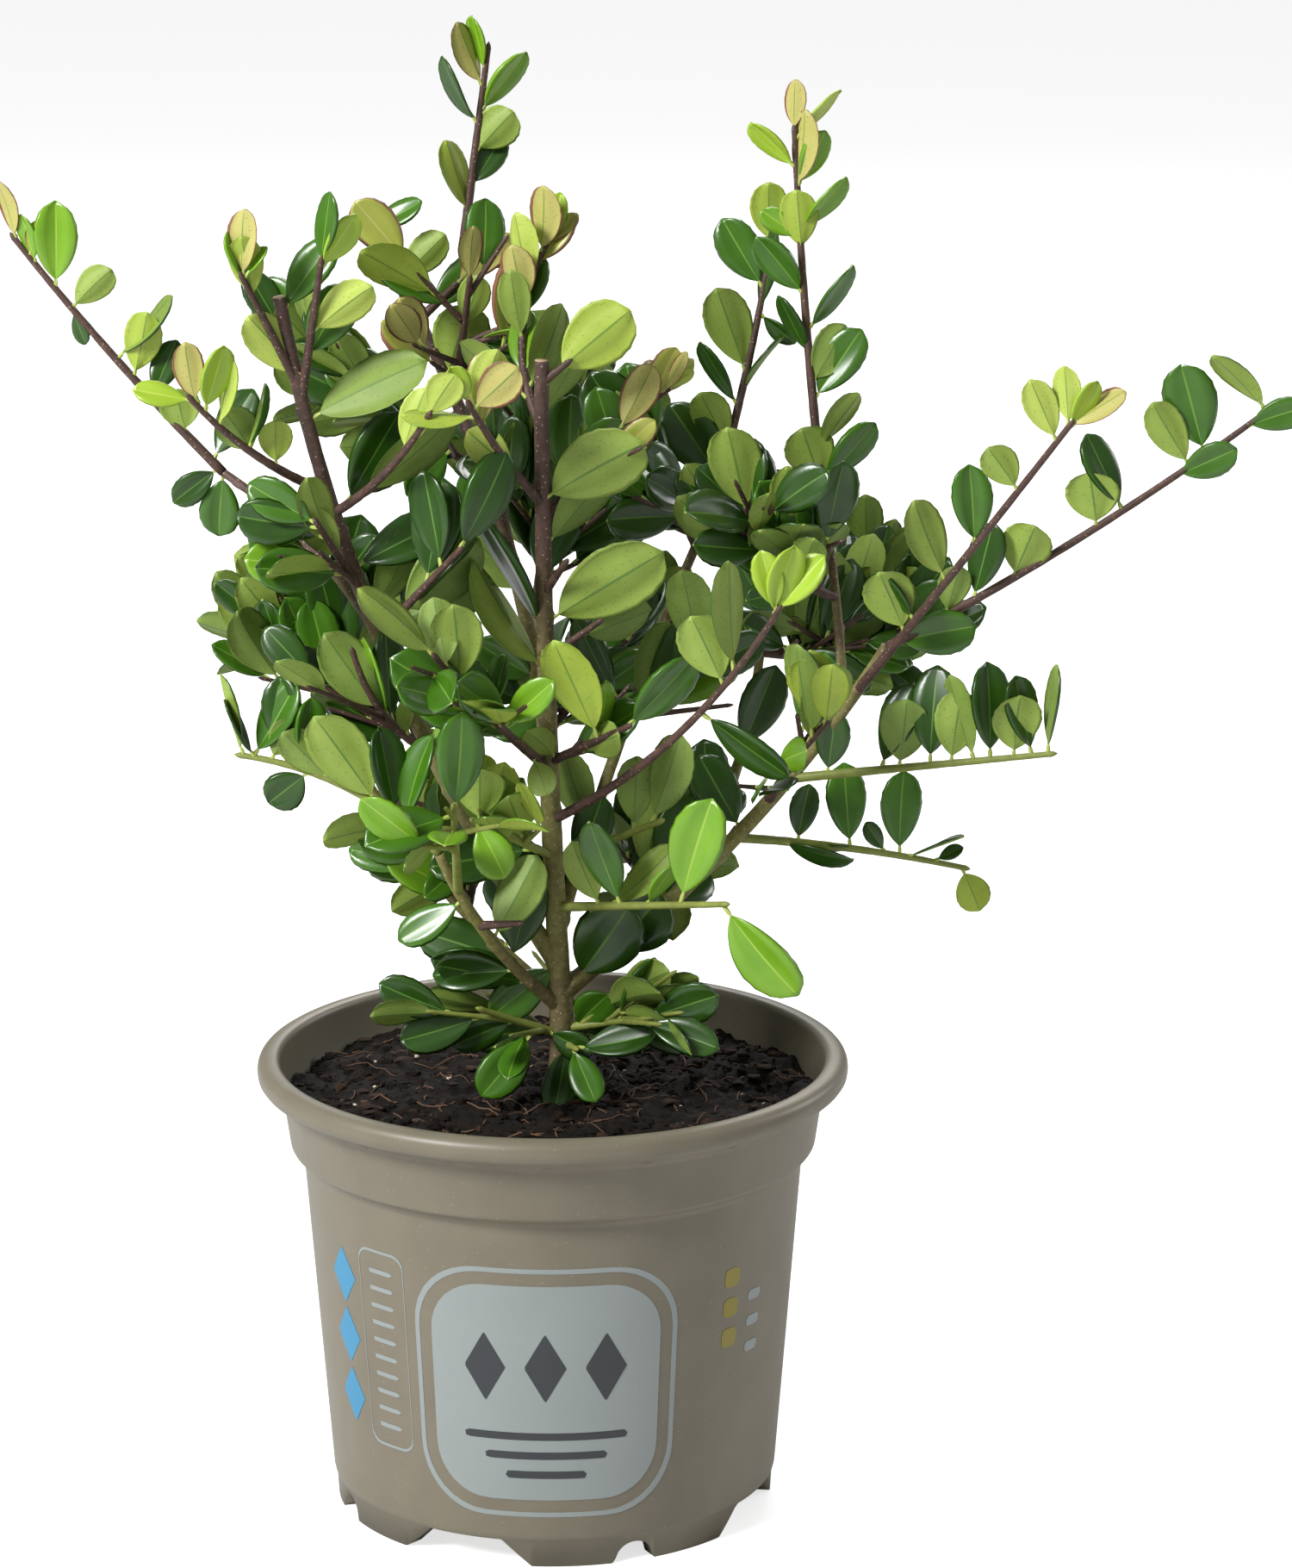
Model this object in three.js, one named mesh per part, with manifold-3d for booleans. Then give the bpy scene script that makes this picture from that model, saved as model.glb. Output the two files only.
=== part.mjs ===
// A small-leaved evergreen shrub in a plastic nursery pot.
// Millimetres, +Z up, the front towards -Y. Sizes are measured from the pot's axis, and the group
// is moved at the end so that its origin is the middle of the whole plant's box, on the ground.
import * as THREE from "three";
import { mergeVertices } from "three/addons/utils/BufferGeometryUtils.js";
import Module from "manifold-3d";

const wasm = await Module();
wasm.setup();

// Driving dimensions
const CLEAR = 0.3; // gap between pieces that touch
const FINEST = 0.01; // edges shorter than this are closed up
const FIRST_SEED = 101; // each shoot grows by a seed of its own, counted up from this

const POT = {
  foldRadius: 49.3, // where the wall meets the feet
  foldHeight: 6.6,
  footInset: 0.5,
  footDepth: 5.5, // how far the ring of feet reaches inwards
  shoulderRadius: 55, // top of the tapering body
  shoulderHeight: 79,
  collarRadius: 57.9, // foot of the collar over the body
  collarHeight: 81.8,
  bandRadius: 60.4, // recessed band below the lip
  bandHeight: 94.4,
  lipRadius: 65,
  lipHeight: 98.5, // where the lip is widest
  rimHeight: 101.5,
  rimInnerRadius: 59.9,
  wall: 1.5,
  segments: 32,
};

const FEET = {
  count: 4,
  firstTurn: 22, // degrees from the front towards +X
  gapTop: 17, // width of a gap between two feet at the fold
  gapBottom: 31,
  archWidth: 9.4,
  archHeight: 4.5,
};

const SOIL = {
  level: 94, // the flat patch that the trunk stands on
  flatRadius: 9,
  edgeDrop: 1.6, // how much lower the surface is at the wall
  lump: 0.9, // height of the unevenness
  rings: 5,
};

const TRUNK = {
  foot: [3, -6],
  heading: 240,
  reach: 9,
  rise: 164,
  sway: 1.5,
  footRadius: 2.6,
  tipRadius: 1.5,
  flare: 2.2, // extra radius of the root flare
  flareHeight: 7,
  sides: 10,
  steps: 12,
};

const LIMB = { sides: 6, steps: 6 };
const STEM = { sides: 3, steps: 4, footRadius: 1.0, tipRadius: 0.6 };
const TWIG = {
  sides: 3,
  steps: 2,
  footRadius: 0.75,
  tipRadius: 0.5,
  leaves: 5,
  size: 0.85, // of its leaves beside those of its stem
  along: [0.3, 0.8], // where the first and the last one leave their stem, as a share of its length
  turn: [0.7, 1.3], // away from the stem's heading, in radians
  reach: [10, 17],
  rise: [5, 14],
};

const LEAF = {
  widestAt: 0.58, // share of the length
  width: 0.58, // share of the length, a little broader than the rounded blade it stands for
  keel: 0.05, // how far the midrib lies below the margins, as a share of the length
  baseSpread: 54, // degrees from the stem at its foot
  tipSpread: 26, // and at its tip
  spreadVaries: 16, // degrees
  broadside: 0.55, // how far a leaf swings out of the line from the window at the front
  facing: 1, // how far its blade turns to that window
  roll: 0.7, // radians that it may be turned about its own length
  firstAt: 0.12, // share of the stem that is bare
  tipSize: 0.72, // size of the last leaf beside the first
  sizeVaries: [0.85, 1.15],
  turn: 137.5, // degrees from each leaf to the next
  tries: 7,
  shrink: 0.97, // size on each new try
  clearOfLimb: 0.9,
  clearOfSpace: 0.3,
  apart: 2.2, // between the blades of one mass
};

// Each limb leaves its carrier at a share of the carrier's length. Heading is in degrees, 0 to the
// right and 90 to the back. Reach is measured level and rise upright, from foot to tip. Bow lifts
// the middle above the chord and sway moves it sideways. Radii are at the foot and at the tip.
const BOUGHS = {
  left: { on: "trunk", at: 0.18, heading: 193, reach: 59, rise: 149, bow: -8, sway: 4, radii: [2.0, 1.4] },
  back: { on: "trunk", at: 0.28, heading: 135, reach: 60, rise: 141, bow: 1, sway: 14, radii: [1.9, 1.2] },
  right: { on: "trunk", at: 0.14, heading: 5, reach: 71, rise: 76, bow: -7, sway: -9, radii: [2.1, 1.3] },
  mid: { on: "trunk", at: 0.22, heading: 53, reach: 56, rise: 85, bow: -4, sway: -5, radii: [1.5, 1.0] },
  low_left: { on: "trunk", at: 0.12, heading: 217, reach: 32, rise: 40, bow: -3, radii: [1.4, 1.1] },
  rear: { on: "trunk", at: 0.2, heading: 96, reach: 52, rise: 66, bow: -5, radii: [1.5, 1.0] },
  rear_left: { on: "trunk", at: 0.13, heading: 158, reach: 54, rise: 58, bow: -5, radii: [1.4, 1.0] },
  rear_right: {
    on: "right", at: 0.32, heading: 62, reach: 38, rise: 46, bow: -3, sway: 2, radii: [1.4, 1.0],
  },
  upright: {
    on: "right", at: 0.84, heading: 105, reach: 18, rise: 46, bow: -1, sway: 1, radii: [1.1, 0.9],
  },
  far_left: { on: "left", at: 0.52, heading: 153, reach: 38, rise: 32, bow: 3, radii: [1.1, 0.9] },
  top: { on: "back", at: 0.48, heading: 113, reach: 28, rise: 63, bow: -4, sway: 1, radii: [1.1, 0.9] },
};

// Each mass is one shoot, whose stem is placed as a limb is. Its foliage is a number of leaves, the
// length of the largest, how far they turn up towards the light, and a number of side twigs.
const SHOOTS = {
  far_left: {
    on: "far_left", at: 1, heading: 169, reach: 45, rise: 49, bow: -1, foliage: [11, 20, 1.2, 0],
  },
  left_upper: { on: "left", at: 0.88, heading: 222, reach: 14, rise: 24, foliage: [10, 18, 1.2, 0] },
  left_mid: { on: "left", at: 0.86, heading: 300, reach: 10, rise: 30, foliage: [11, 18, 0.8, 0] },
  left_outer: {
    on: "left", at: 0.73, heading: 206, reach: 30, rise: 22, bow: -2, foliage: [12, 19, 1.0, 1],
  },
  left_inner: {
    on: "left", at: 0.7, heading: 318, reach: 28, rise: 24, bow: -2, foliage: [11, 25, 0.8, 4],
  },
  left_shoulder: { on: "left", at: 0.58, heading: 235, reach: 15, rise: 18, foliage: [12, 24, 1.3, 3] },
  left_heart: { on: "left", at: 0.52, heading: 315, reach: 25, rise: 22, foliage: [12, 27, 1.4, 4] },
  left_side: {
    on: "left", at: 0.34, heading: 212, reach: 19, rise: 24, bow: -3, foliage: [13, 22, 1.2, 4],
  },
  left_depth: { on: "rear_left", at: 0.35, heading: 78, reach: 20, rise: 18, foliage: [12, 25, 0.8, 3] },
  back_crest: { on: "back", at: 0.84, heading: 8, reach: 12, rise: 11, foliage: [9, 19, 0.8, 0] },
  back_side: { on: "back", at: 0.72, heading: 285, reach: 15, rise: 28, foliage: [10, 23, 1.0, 3] },
  back_outer: { on: "back", at: 0.6, heading: 175, reach: 28, rise: 20, foliage: [12, 23, 1.0, 2] },
  top: { on: "top", at: 1, heading: 34, reach: 7, rise: 44, foliage: [12, 17, 0.5, 0] },
  crest: {
    on: "trunk", at: 0.91, heading: 87, reach: 19, rise: 37, bow: -3, sway: -5, foliage: [16, 18, 0.6, 1],
  },
  cap: { on: "trunk", at: 0.97, heading: 350, reach: 5, rise: 4, foliage: [4, 20, 0.8, 0] },
  front_upper: {
    on: "trunk", at: 0.81, heading: 236, reach: 26, rise: 25, bow: -1, foliage: [10, 19, 1.0, 1],
  },
  right_small: {
    on: "trunk", at: 0.78, heading: 25, reach: 29, rise: 27, bow: 2, foliage: [11, 19, 0.8, 1],
  },
  spur_high: { on: "trunk", at: 0.69, heading: 300, reach: 9, rise: 8, foliage: [8, 28, 1.2, 2] },
  spur_mid: { on: "trunk", at: 0.6, heading: 335, reach: 12, rise: 9, foliage: [8, 29, 1.2, 2] },
  front_left: {
    on: "trunk", at: 0.45, heading: 234, reach: 39, rise: 32, bow: -1, foliage: [14, 26, 1.3, 2],
  },
  stub_right: { on: "trunk", at: 0.46, heading: 314, reach: 24, rise: 12, foliage: [12, 24, 1.0, 3] },
  front_right: {
    on: "trunk", at: 0.38, heading: 320, reach: 62, rise: 55, bow: -5, foliage: [13, 21, 1.3, 0],
  },
  front_left_low: { on: "trunk", at: 0.33, heading: 235, reach: 28, rise: 14, foliage: [12, 25, 1.0, 3] },
  front_low_right: { on: "trunk", at: 0.26, heading: 317, reach: 49, rise: 10, foliage: [16, 26, 1.6, 2] },
  base_left: { on: "trunk", at: 0.08, heading: 212, reach: 20, rise: 9, foliage: [12, 20, 0.5, 2] },
  base_right: { on: "trunk", at: 0.09, heading: 335, reach: 16, rise: 4, foliage: [12, 22, 0.4, 2] },
  base_front: { on: "trunk", at: 0.07, heading: 290, reach: 8, rise: 1, foliage: [5, 16, 0.1, 0] },
  mid_top: { on: "mid", at: 1, heading: 28, reach: 15, rise: 58, bow: -1, foliage: [14, 23, 0.6, 0] },
  mid_side: { on: "mid", at: 0.92, heading: 235, reach: 13, rise: 18, foliage: [12, 26, 1.2, 3] },
  mid_front: { on: "mid", at: 0.5, heading: 318, reach: 22, rise: 18, foliage: [11, 27, 1.2, 3] },
  mid_low: { on: "mid", at: 0.2, heading: 310, reach: 26, rise: 12, foliage: [12, 27, 0.8, 4] },
  upright: { on: "upright", at: 1, heading: 128, reach: 10, rise: 76, bow: -1, foliage: [18, 18, 0.5, 0] },
  right_inner: {
    on: "upright", at: 0.5, heading: 215, reach: 24, rise: 21, bow: -3, foliage: [11, 24, 1.1, 2],
  },
  right_high: {
    on: "right", at: 0.88, heading: 322, reach: 54, rise: 65, bow: -1, sway: 2, foliage: [13, 21, 0.8, 0],
  },
  right_far: { on: "right", at: 1, heading: 6, reach: 82, rise: 50, bow: -2, foliage: [13, 21, 0.9, 0] },
  right_front: { on: "right", at: 0.58, heading: 300, reach: 22, rise: 24, foliage: [12, 25, 1.2, 3] },
  low_right: { on: "right", at: 0.65, heading: 342, reach: 58, rise: 10, foliage: [11, 26, 2, 0] },
  lowest_right: {
    on: "right", at: 0.48, heading: 17, reach: 53, rise: -11, bow: 1, foliage: [12, 17, 0.8, 0],
  },
  left_big: { on: "low_left", at: 0.8, heading: 270, reach: 22, rise: 24, foliage: [11, 26, 1.3, 3] },
  left_low: { on: "low_left", at: 1, heading: 172, reach: 42, rise: 20, bow: 4, foliage: [16, 21, 1.2, 0] },
  right_low: { on: "right", at: 0.2, heading: 75, reach: 22, rise: 16, foliage: [12, 25, 0.8, 3] },
  left_lowest: { on: "low_left", at: 0.6, heading: 305, reach: 15, rise: 4, foliage: [12, 22, 0.6, 3] },
  rear_tip: { on: "rear", at: 1, heading: 80, reach: 20, rise: 38, bow: -3, foliage: [17, 25, 0.9, 2] },
  rear_side: { on: "rear", at: 0.62, heading: 60, reach: 30, rise: 14, foliage: [14, 25, 1.0, 3] },
  rear_left_tip: {
    on: "rear_left", at: 1, heading: 100, reach: 16, rise: 24, bow: -2, foliage: [16, 24, 1.0, 3],
  },
  rear_right_tip: {
    on: "rear_right", at: 1, heading: 20, reach: 34, rise: 0, bow: -2, foliage: [17, 24, 1.0, 3],
  },
};

const COLOURS = {
  pot: { color: 0x8d8674, roughness: 0.55, metalness: 0 },
  soil: { color: 0x1e1815, roughness: 0.95, metalness: 0 },
  bark: { color: 0x5a4440, roughness: 0.85, metalness: 0 },
  leaf: { color: 0x4c7d2f, roughness: 0.4, metalness: 0 },
};

const UP = new THREE.Vector3(0, 0, 1);
const FRONT = new THREE.Vector3(0, -1, 0);
const radians = THREE.MathUtils.degToRad;
const mix = THREE.MathUtils.lerp;

// Solids
function solidFrom(geometry) {
  const bare = geometry.clone();
  bare.deleteAttribute("normal");
  bare.deleteAttribute("uv");
  const merged = mergeVertices(bare, 1e-4);
  return new wasm.Manifold(
    new wasm.Mesh({
      numProp: 3,
      vertProperties: merged.attributes.position.array,
      triVerts: new Uint32Array(merged.index.array),
    }),
  );
}

// The largest body of a solid: loose scraps and the walls of sealed hollows are left behind.
function largestBody(solid) {
  return solid.decompose().reduce((best, body) => (body.volume() > best.volume() ? body : best));
}

function meshFrom(name, solid, look) {
  const { numProp, vertProperties, triVerts } = solid.getMesh();
  const geometry = new THREE.BufferGeometry();
  const points = new THREE.InterleavedBuffer(vertProperties, numProp);
  geometry.setAttribute("position", new THREE.InterleavedBufferAttribute(points, 3, 0));
  geometry.setIndex(new THREE.BufferAttribute(triVerts, 1));
  geometry.computeVertexNormals();
  const mesh = new THREE.Mesh(geometry, new THREE.MeshStandardMaterial(look));
  mesh.name = name;
  return mesh;
}

function moveVertices(geometry, move) {
  const place = geometry.attributes.position;
  const point = new THREE.Vector3();
  for (let i = 0; i < place.count; i += 1) {
    point.fromBufferAttribute(place, i);
    move(point);
    place.setXYZ(i, point.x, point.y, point.z);
  }
  return geometry;
}

// Curves and round limbs
function arc(foot, { heading, reach, rise, bow = 0, sway = 0 }) {
  const turn = radians(heading);
  const span = new THREE.Vector3(reach * Math.cos(turn), reach * Math.sin(turn), rise);
  const along = span.clone().normalize();
  const lifted = UP.clone().addScaledVector(along, -UP.dot(along)).normalize();
  const beside = new THREE.Vector3().crossVectors(along, lifted);
  const middle = foot
    .clone()
    .addScaledVector(span, 0.5)
    .addScaledVector(lifted, 2 * bow)
    .addScaledVector(beside, 2 * sway);
  return new THREE.QuadraticBezierCurve3(foot, middle, foot.clone().add(span));
}

// The normal of the plane that the curve lies in, or any direction across a straight one.
function planeNormal({ v0, v1, v2 }) {
  const chord = v2.clone().sub(v0);
  const normal = new THREE.Vector3().crossVectors(v1.clone().sub(v0), chord);
  if (normal.length() > 1e-3 * chord.lengthSq()) return normal.normalize();
  const aside = Math.abs(chord.x) < Math.abs(chord.z) ? new THREE.Vector3(1, 0, 0) : UP;
  return normal.crossVectors(aside, chord).normalize();
}

// A closed round limb along a curve: a cylinder of radius 1 and height 1, bent and given its radii.
function limb(curve, radiusAt, sides, steps) {
  const across = planeNormal(curve);
  const cylinder = new THREE.CylinderGeometry(1, 1, 1, sides, steps);
  moveVertices(cylinder, (point) => {
    const along = point.y + 0.5;
    const tangent = curve.getTangent(along);
    const outward = new THREE.Vector3().crossVectors(tangent, across);
    const radius = radiusAt(along);
    const { x, z } = point;
    curve.getPoint(along, point);
    point.addScaledVector(outward, x * radius).addScaledVector(across, z * radius);
  });
  return solidFrom(cylinder);
}

function lengthened(curve, extra) {
  const { v0, v1, v2 } = curve;
  const tip = v2.clone().addScaledVector(curve.getTangent(1), extra);
  return new THREE.QuadraticBezierCurve3(v0, v1, tip);
}

// Pot
function potSolid() {
  const { foldRadius, foldHeight, wall } = POT;
  const footOuter = foldRadius - POT.footInset;
  const footInner = footOuter - POT.footDepth;
  const profile = [
    [0, foldHeight - 0.6],
    [footInner, foldHeight - 0.6],
    [footInner + 0.5, 0],
    [footOuter - 0.5, 0],
    [footOuter, foldHeight - 0.6],
    [foldRadius, foldHeight],
    [POT.shoulderRadius, POT.shoulderHeight],
    [POT.collarRadius, POT.collarHeight],
    [POT.bandRadius - 0.6, POT.bandHeight - 0.5],
    [POT.bandRadius, POT.bandHeight],
    [POT.bandRadius + 0.5, POT.lipHeight - 2.5],
    [POT.lipRadius - 0.7, POT.lipHeight - 2.2],
    [POT.lipRadius, POT.lipHeight],
    [POT.lipRadius - 0.8, POT.rimHeight - 0.8],
    [POT.lipRadius - 2.8, POT.rimHeight],
    [POT.rimInnerRadius + 0.6, POT.rimHeight - 0.2],
    [POT.rimInnerRadius, POT.rimHeight - 1.2],
    ...insideProfile(0),
    [0, foldHeight + wall],
  ];
  const shell = new THREE.LatheGeometry(
    profile.map(([radius, height]) => new THREE.Vector2(radius, height)),
    POT.segments,
  );
  let pot = solidFrom(shell.rotateX(Math.PI / 2));
  for (let i = 0; i < FEET.count; i += 1) {
    const foot = FEET.firstTurn + (i * 360) / FEET.count;
    pot = pot.subtract(radialCut(archShape(), foot));
    pot = pot.subtract(radialCut(gapShape(), foot + 180 / FEET.count));
  }
  return pot;
}

// The inner wall from the band down to the floor, drawn in by a clearance.
function insideProfile(clear) {
  const { wall } = POT;
  return [
    [POT.bandRadius - wall - clear, POT.bandHeight],
    [POT.collarRadius - wall - clear, POT.collarHeight + 0.8],
    [POT.shoulderRadius - wall - clear, POT.shoulderHeight + 0.8 - clear],
    [POT.foldRadius - wall - clear, POT.foldHeight + wall + clear],
  ];
}

function gapShape() {
  const top = POT.foldHeight - 0.6;
  const flare = (FEET.gapBottom - FEET.gapTop) / 2 / top;
  const below = 1;
  const low = FEET.gapBottom / 2 + flare * below;
  const high = FEET.gapTop / 2;
  return new THREE.Shape([
    new THREE.Vector2(-low, -below),
    new THREE.Vector2(low, -below),
    new THREE.Vector2(high, top),
    new THREE.Vector2(-high, top),
  ]);
}

function archShape() {
  const half = FEET.archWidth / 2;
  const shape = new THREE.Shape();
  shape.moveTo(-half, -1);
  shape.lineTo(half, -1);
  shape.absellipse(0, 0, half, FEET.archHeight, 0, Math.PI, false, 0);
  shape.closePath();
  return shape;
}

// A cutter through the ring of feet: the shape stands upright and runs outwards from the axis.
function radialCut(shape, turn) {
  const inner = POT.foldRadius - POT.footDepth - 6;
  const depth = POT.foldRadius + 6 - inner;
  const cutter = new THREE.ExtrudeGeometry(shape, { depth, bevelEnabled: false, curveSegments: 5 });
  cutter.translate(0, 0, inner);
  cutter.rotateX(Math.PI / 2);
  cutter.rotateZ(radians(turn));
  return solidFrom(cutter);
}

// Soil
function soilHeight(x, y) {
  const radius = Math.hypot(x, y);
  const wallRadius = POT.bandRadius - POT.wall;
  const fromTrunk = Math.hypot(x - TRUNK.foot[0], y - TRUNK.foot[1]);
  const free = THREE.MathUtils.smoothstep(fromTrunk, SOIL.flatRadius, 3 * SOIL.flatRadius);
  const waves = Math.sin(0.21 * x + 1.3) * Math.cos(0.17 * y) + 0.6 * Math.sin(0.33 * y + 0.25 * x);
  return SOIL.level + free * (SOIL.lump * waves - (SOIL.edgeDrop * radius) / wallRadius);
}

function soilSolid() {
  const [band, collar, shoulder, fold] = insideProfile(CLEAR);
  const lowest = SOIL.level - SOIL.edgeDrop - 2 * SOIL.lump;
  const share = (lowest - collar[1]) / (band[1] - collar[1]);
  const edge = mix(collar[0], band[0], share);
  const profile = [new THREE.Vector2(0, fold[1])];
  for (const [radius, height] of [fold, shoulder, collar]) {
    profile.push(new THREE.Vector2(radius, height));
  }
  for (let i = SOIL.rings; i >= 0; i -= 1) {
    profile.push(new THREE.Vector2((edge * i) / SOIL.rings, SOIL.level));
  }
  const body = new THREE.LatheGeometry(profile, POT.segments).rotateX(Math.PI / 2);
  moveVertices(body, (point) => {
    if (point.z > SOIL.level - 1) point.z = soilHeight(point.x, point.y);
  });
  return solidFrom(body);
}

// Trunk and boughs
function trunkCurve() {
  const foot = new THREE.Vector3(TRUNK.foot[0], TRUNK.foot[1], SOIL.level);
  return arc(foot, TRUNK);
}

function trunkRadius(along) {
  const height = along * TRUNK.rise;
  const flare = TRUNK.flare * Math.exp(-height / TRUNK.flareHeight);
  return mix(TRUNK.footRadius, TRUNK.tipRadius, along) + flare;
}

function trunkSolid(curve) {
  const trunk = limb(curve, trunkRadius, TRUNK.sides, TRUNK.steps);
  const ground = new THREE.BoxGeometry(40, 40, 10);
  ground.translate(curve.v0.x, curve.v0.y, SOIL.level + CLEAR - 5);
  return trunk.subtract(solidFrom(ground));
}

function growLimbs() {
  const trunk = trunkCurve();
  const limbs = { trunk: { curve: trunk, radiusAt: trunkRadius, solid: trunkSolid(trunk) } };
  for (const [name, size] of Object.entries(BOUGHS)) {
    const carrier = limbs[size.on];
    const curve = arc(carrier.curve.getPoint(size.at), size);
    const radiusAt = (along) => mix(...size.radii, along);
    const whole = limb(curve, radiusAt, LIMB.sides, LIMB.steps);
    limbs[name] = { curve, radiusAt, solid: largestBody(whole.subtract(sleeve(carrier))) };
  }
  return limbs;
}

// The room that a limb takes up, with the clearance all round it.
function sleeve({ curve, radiusAt }) {
  const wider = (along) => (radiusAt(along) + CLEAR) / Math.cos(Math.PI / TRUNK.sides);
  return limb(lengthened(curve, CLEAR), wider, TRUNK.sides, TRUNK.steps);
}

// Foliage
function seededRandom(seed) {
  let state = seed;
  return () => {
    state = (Math.imul(state, 1664525) + 1013904223) >>> 0;
    return state / 2 ** 32;
  };
}

function pointsAlong(curve, count) {
  return Array.from({ length: count + 1 }, (_, i) => curve.getPoint(i / count));
}

function distanceTo(point, path) {
  let best = Infinity;
  const nearest = new THREE.Vector3();
  for (let i = 1; i < path.length; i += 1) {
    new THREE.Line3(path[i - 1], path[i]).closestPointToPoint(point, true, nearest);
    best = Math.min(best, nearest.distanceTo(point));
  }
  return best;
}

// A mass's own space: nearer to its stem than to any other stem, and clear of every limb.
function spaceOf(name, stems, limbs) {
  const own = stems[name];
  const others = Object.keys(stems).filter((other) => other !== name);
  return (point) => {
    const reach = distanceTo(point, own) + LEAF.clearOfSpace;
    if (others.some((other) => distanceTo(point, stems[other]) < reach)) return false;
    return Object.values(limbs).every(
      ({ path, width }) => distanceTo(point, path) > width + LEAF.clearOfLimb,
    );
  };
}

// A leaf's own directions: along it, across it, and up from its upper side. It stands out from its
// stem, lifts towards the sky, and shows its broad side to the window.
function leafFrame(curve, along, turn, spread, lift, roll) {
  const tangent = curve.getTangent(along);
  const level = new THREE.Vector3().crossVectors(tangent, UP).normalize();
  const upper = new THREE.Vector3().crossVectors(level, tangent);
  const outward = level.multiplyScalar(Math.cos(turn)).addScaledVector(upper, Math.sin(turn));
  const axis = tangent
    .clone()
    .multiplyScalar(Math.cos(spread))
    .addScaledVector(outward, Math.sin(spread))
    .addScaledVector(UP, lift);
  axis.addScaledVector(FRONT, -LEAF.broadside * axis.dot(FRONT)).normalize();
  const face = tangent.multiplyScalar(Math.sin(spread)).addScaledVector(outward, -Math.cos(spread));
  face.addScaledVector(axis, -face.dot(axis)).normalize();
  const light = FRONT.clone().addScaledVector(axis, -FRONT.dot(axis));
  face.addScaledVector(light, face.dot(light) < 0 ? -LEAF.facing : LEAF.facing).normalize();
  face.applyAxisAngle(axis, roll);
  return { axis, across: new THREE.Vector3().crossVectors(face, axis), face };
}

function leafPoint(root, { axis, across, face }, length, along, side, height) {
  return root
    .clone()
    .addScaledVector(axis, along * length)
    .addScaledVector(across, (side * LEAF.width * length) / 2)
    .addScaledVector(face, height);
}

// Spots spread over a blade, to be tested against the space that it may fill.
function leafSpots(root, frame, length) {
  const spots = [leafPoint(root, frame, length, 1, 0, 0)];
  for (const along of [0.3, 0.5, 0.7, 0.85]) {
    for (const side of [-0.8, 0, 0.8]) spots.push(leafPoint(root, frame, length, along, side, 0));
  }
  return spots;
}

// A tetrahedron drawn out into a blade: its keel runs from root to tip, and the edge across is its
// two margins.
function leafSolid(root, frame, length) {
  const blade = new THREE.TetrahedronGeometry(1);
  moveVertices(blade, (point) => {
    const onKeel = point.z > 0;
    const end = point.x > 0;
    if (onKeel) point.copy(leafPoint(root, frame, length, end ? 1 : 0, 0, 0));
    else point.copy(leafPoint(root, frame, length, LEAF.widestAt, end ? 1 : -1, LEAF.keel * length));
  });
  return solidFrom(blade);
}

// Leaves wind round a stem. One that would leave the space is turned on and made a little smaller,
// and after the last try it is left out.
function addLeaves(curve, count, size, lift, random, inside, placed, solids) {
  let turn = random() * 2 * Math.PI;
  for (let i = 0; i < count; i += 1) {
    const along = mix(LEAF.firstAt, 1, (i + 0.7) / count);
    const leaning = mix(LEAF.baseSpread, LEAF.tipSpread, along ** 2);
    const spread = radians(leaning + LEAF.spreadVaries * (random() - 0.5));
    const fullLength = size * mix(1, LEAF.tipSize, along ** 2) * mix(...LEAF.sizeVaries, random());
    const roll = LEAF.roll * (random() - 0.5);
    const root = curve.getPoint(Math.min(along, 0.985));
    for (let attempt = 0; attempt < LEAF.tries; attempt += 1) {
      turn += radians(LEAF.turn);
      const length = fullLength * LEAF.shrink ** attempt;
      const frame = leafFrame(curve, along, turn, spread, lift * (1 - attempt / LEAF.tries), roll);
      const spots = leafSpots(root, frame, length);
      const free = (spot) => placed.every((other) => spot.distanceTo(other) > LEAF.apart);
      if (spots.every(free) && spots.every(inside)) {
        placed.push(...spots);
        solids.push(leafSolid(root, frame, length));
        break;
      }
    }
  }
}

// A side twig with its leaves, left out if it would leave the space.
function addTwig(curve, share, size, lift, random, inside, placed, solids) {
  const foot = curve.getPoint(share);
  const tangent = curve.getTangent(share);
  const side = random() < 0.5 ? -1 : 1;
  const out = Math.atan2(tangent.y, tangent.x) + side * mix(...TWIG.turn, random());
  const heading = THREE.MathUtils.radToDeg(out);
  const reach = mix(...TWIG.reach, random());
  const twig = arc(foot, { heading, reach, rise: mix(...TWIG.rise, random()) });
  if (!pointsAlong(twig, 4).slice(1).every(inside)) return;
  const radiusAt = (along) => mix(TWIG.footRadius, TWIG.tipRadius, along);
  solids.push(limb(twig, radiusAt, TWIG.sides, TWIG.steps));
  addLeaves(twig, TWIG.leaves, TWIG.size * size, lift, random, inside, placed, solids);
}

function massSolid(curve, shoot, seed, inside) {
  const [leaves, size, lift, twigs] = shoot.foliage;
  const random = seededRandom(seed);
  const radiusAt = (along) => mix(STEM.footRadius, STEM.tipRadius, along);
  const solids = [limb(curve, radiusAt, STEM.sides, STEM.steps)];
  const placed = [];
  addLeaves(curve, leaves, size, lift, random, inside, placed, solids);
  for (let i = 0; i < twigs; i += 1) {
    addTwig(curve, mix(...TWIG.along, i / twigs), size, lift, random, inside, placed, solids);
  }
  return wasm.Manifold.union(solids);
}

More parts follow.
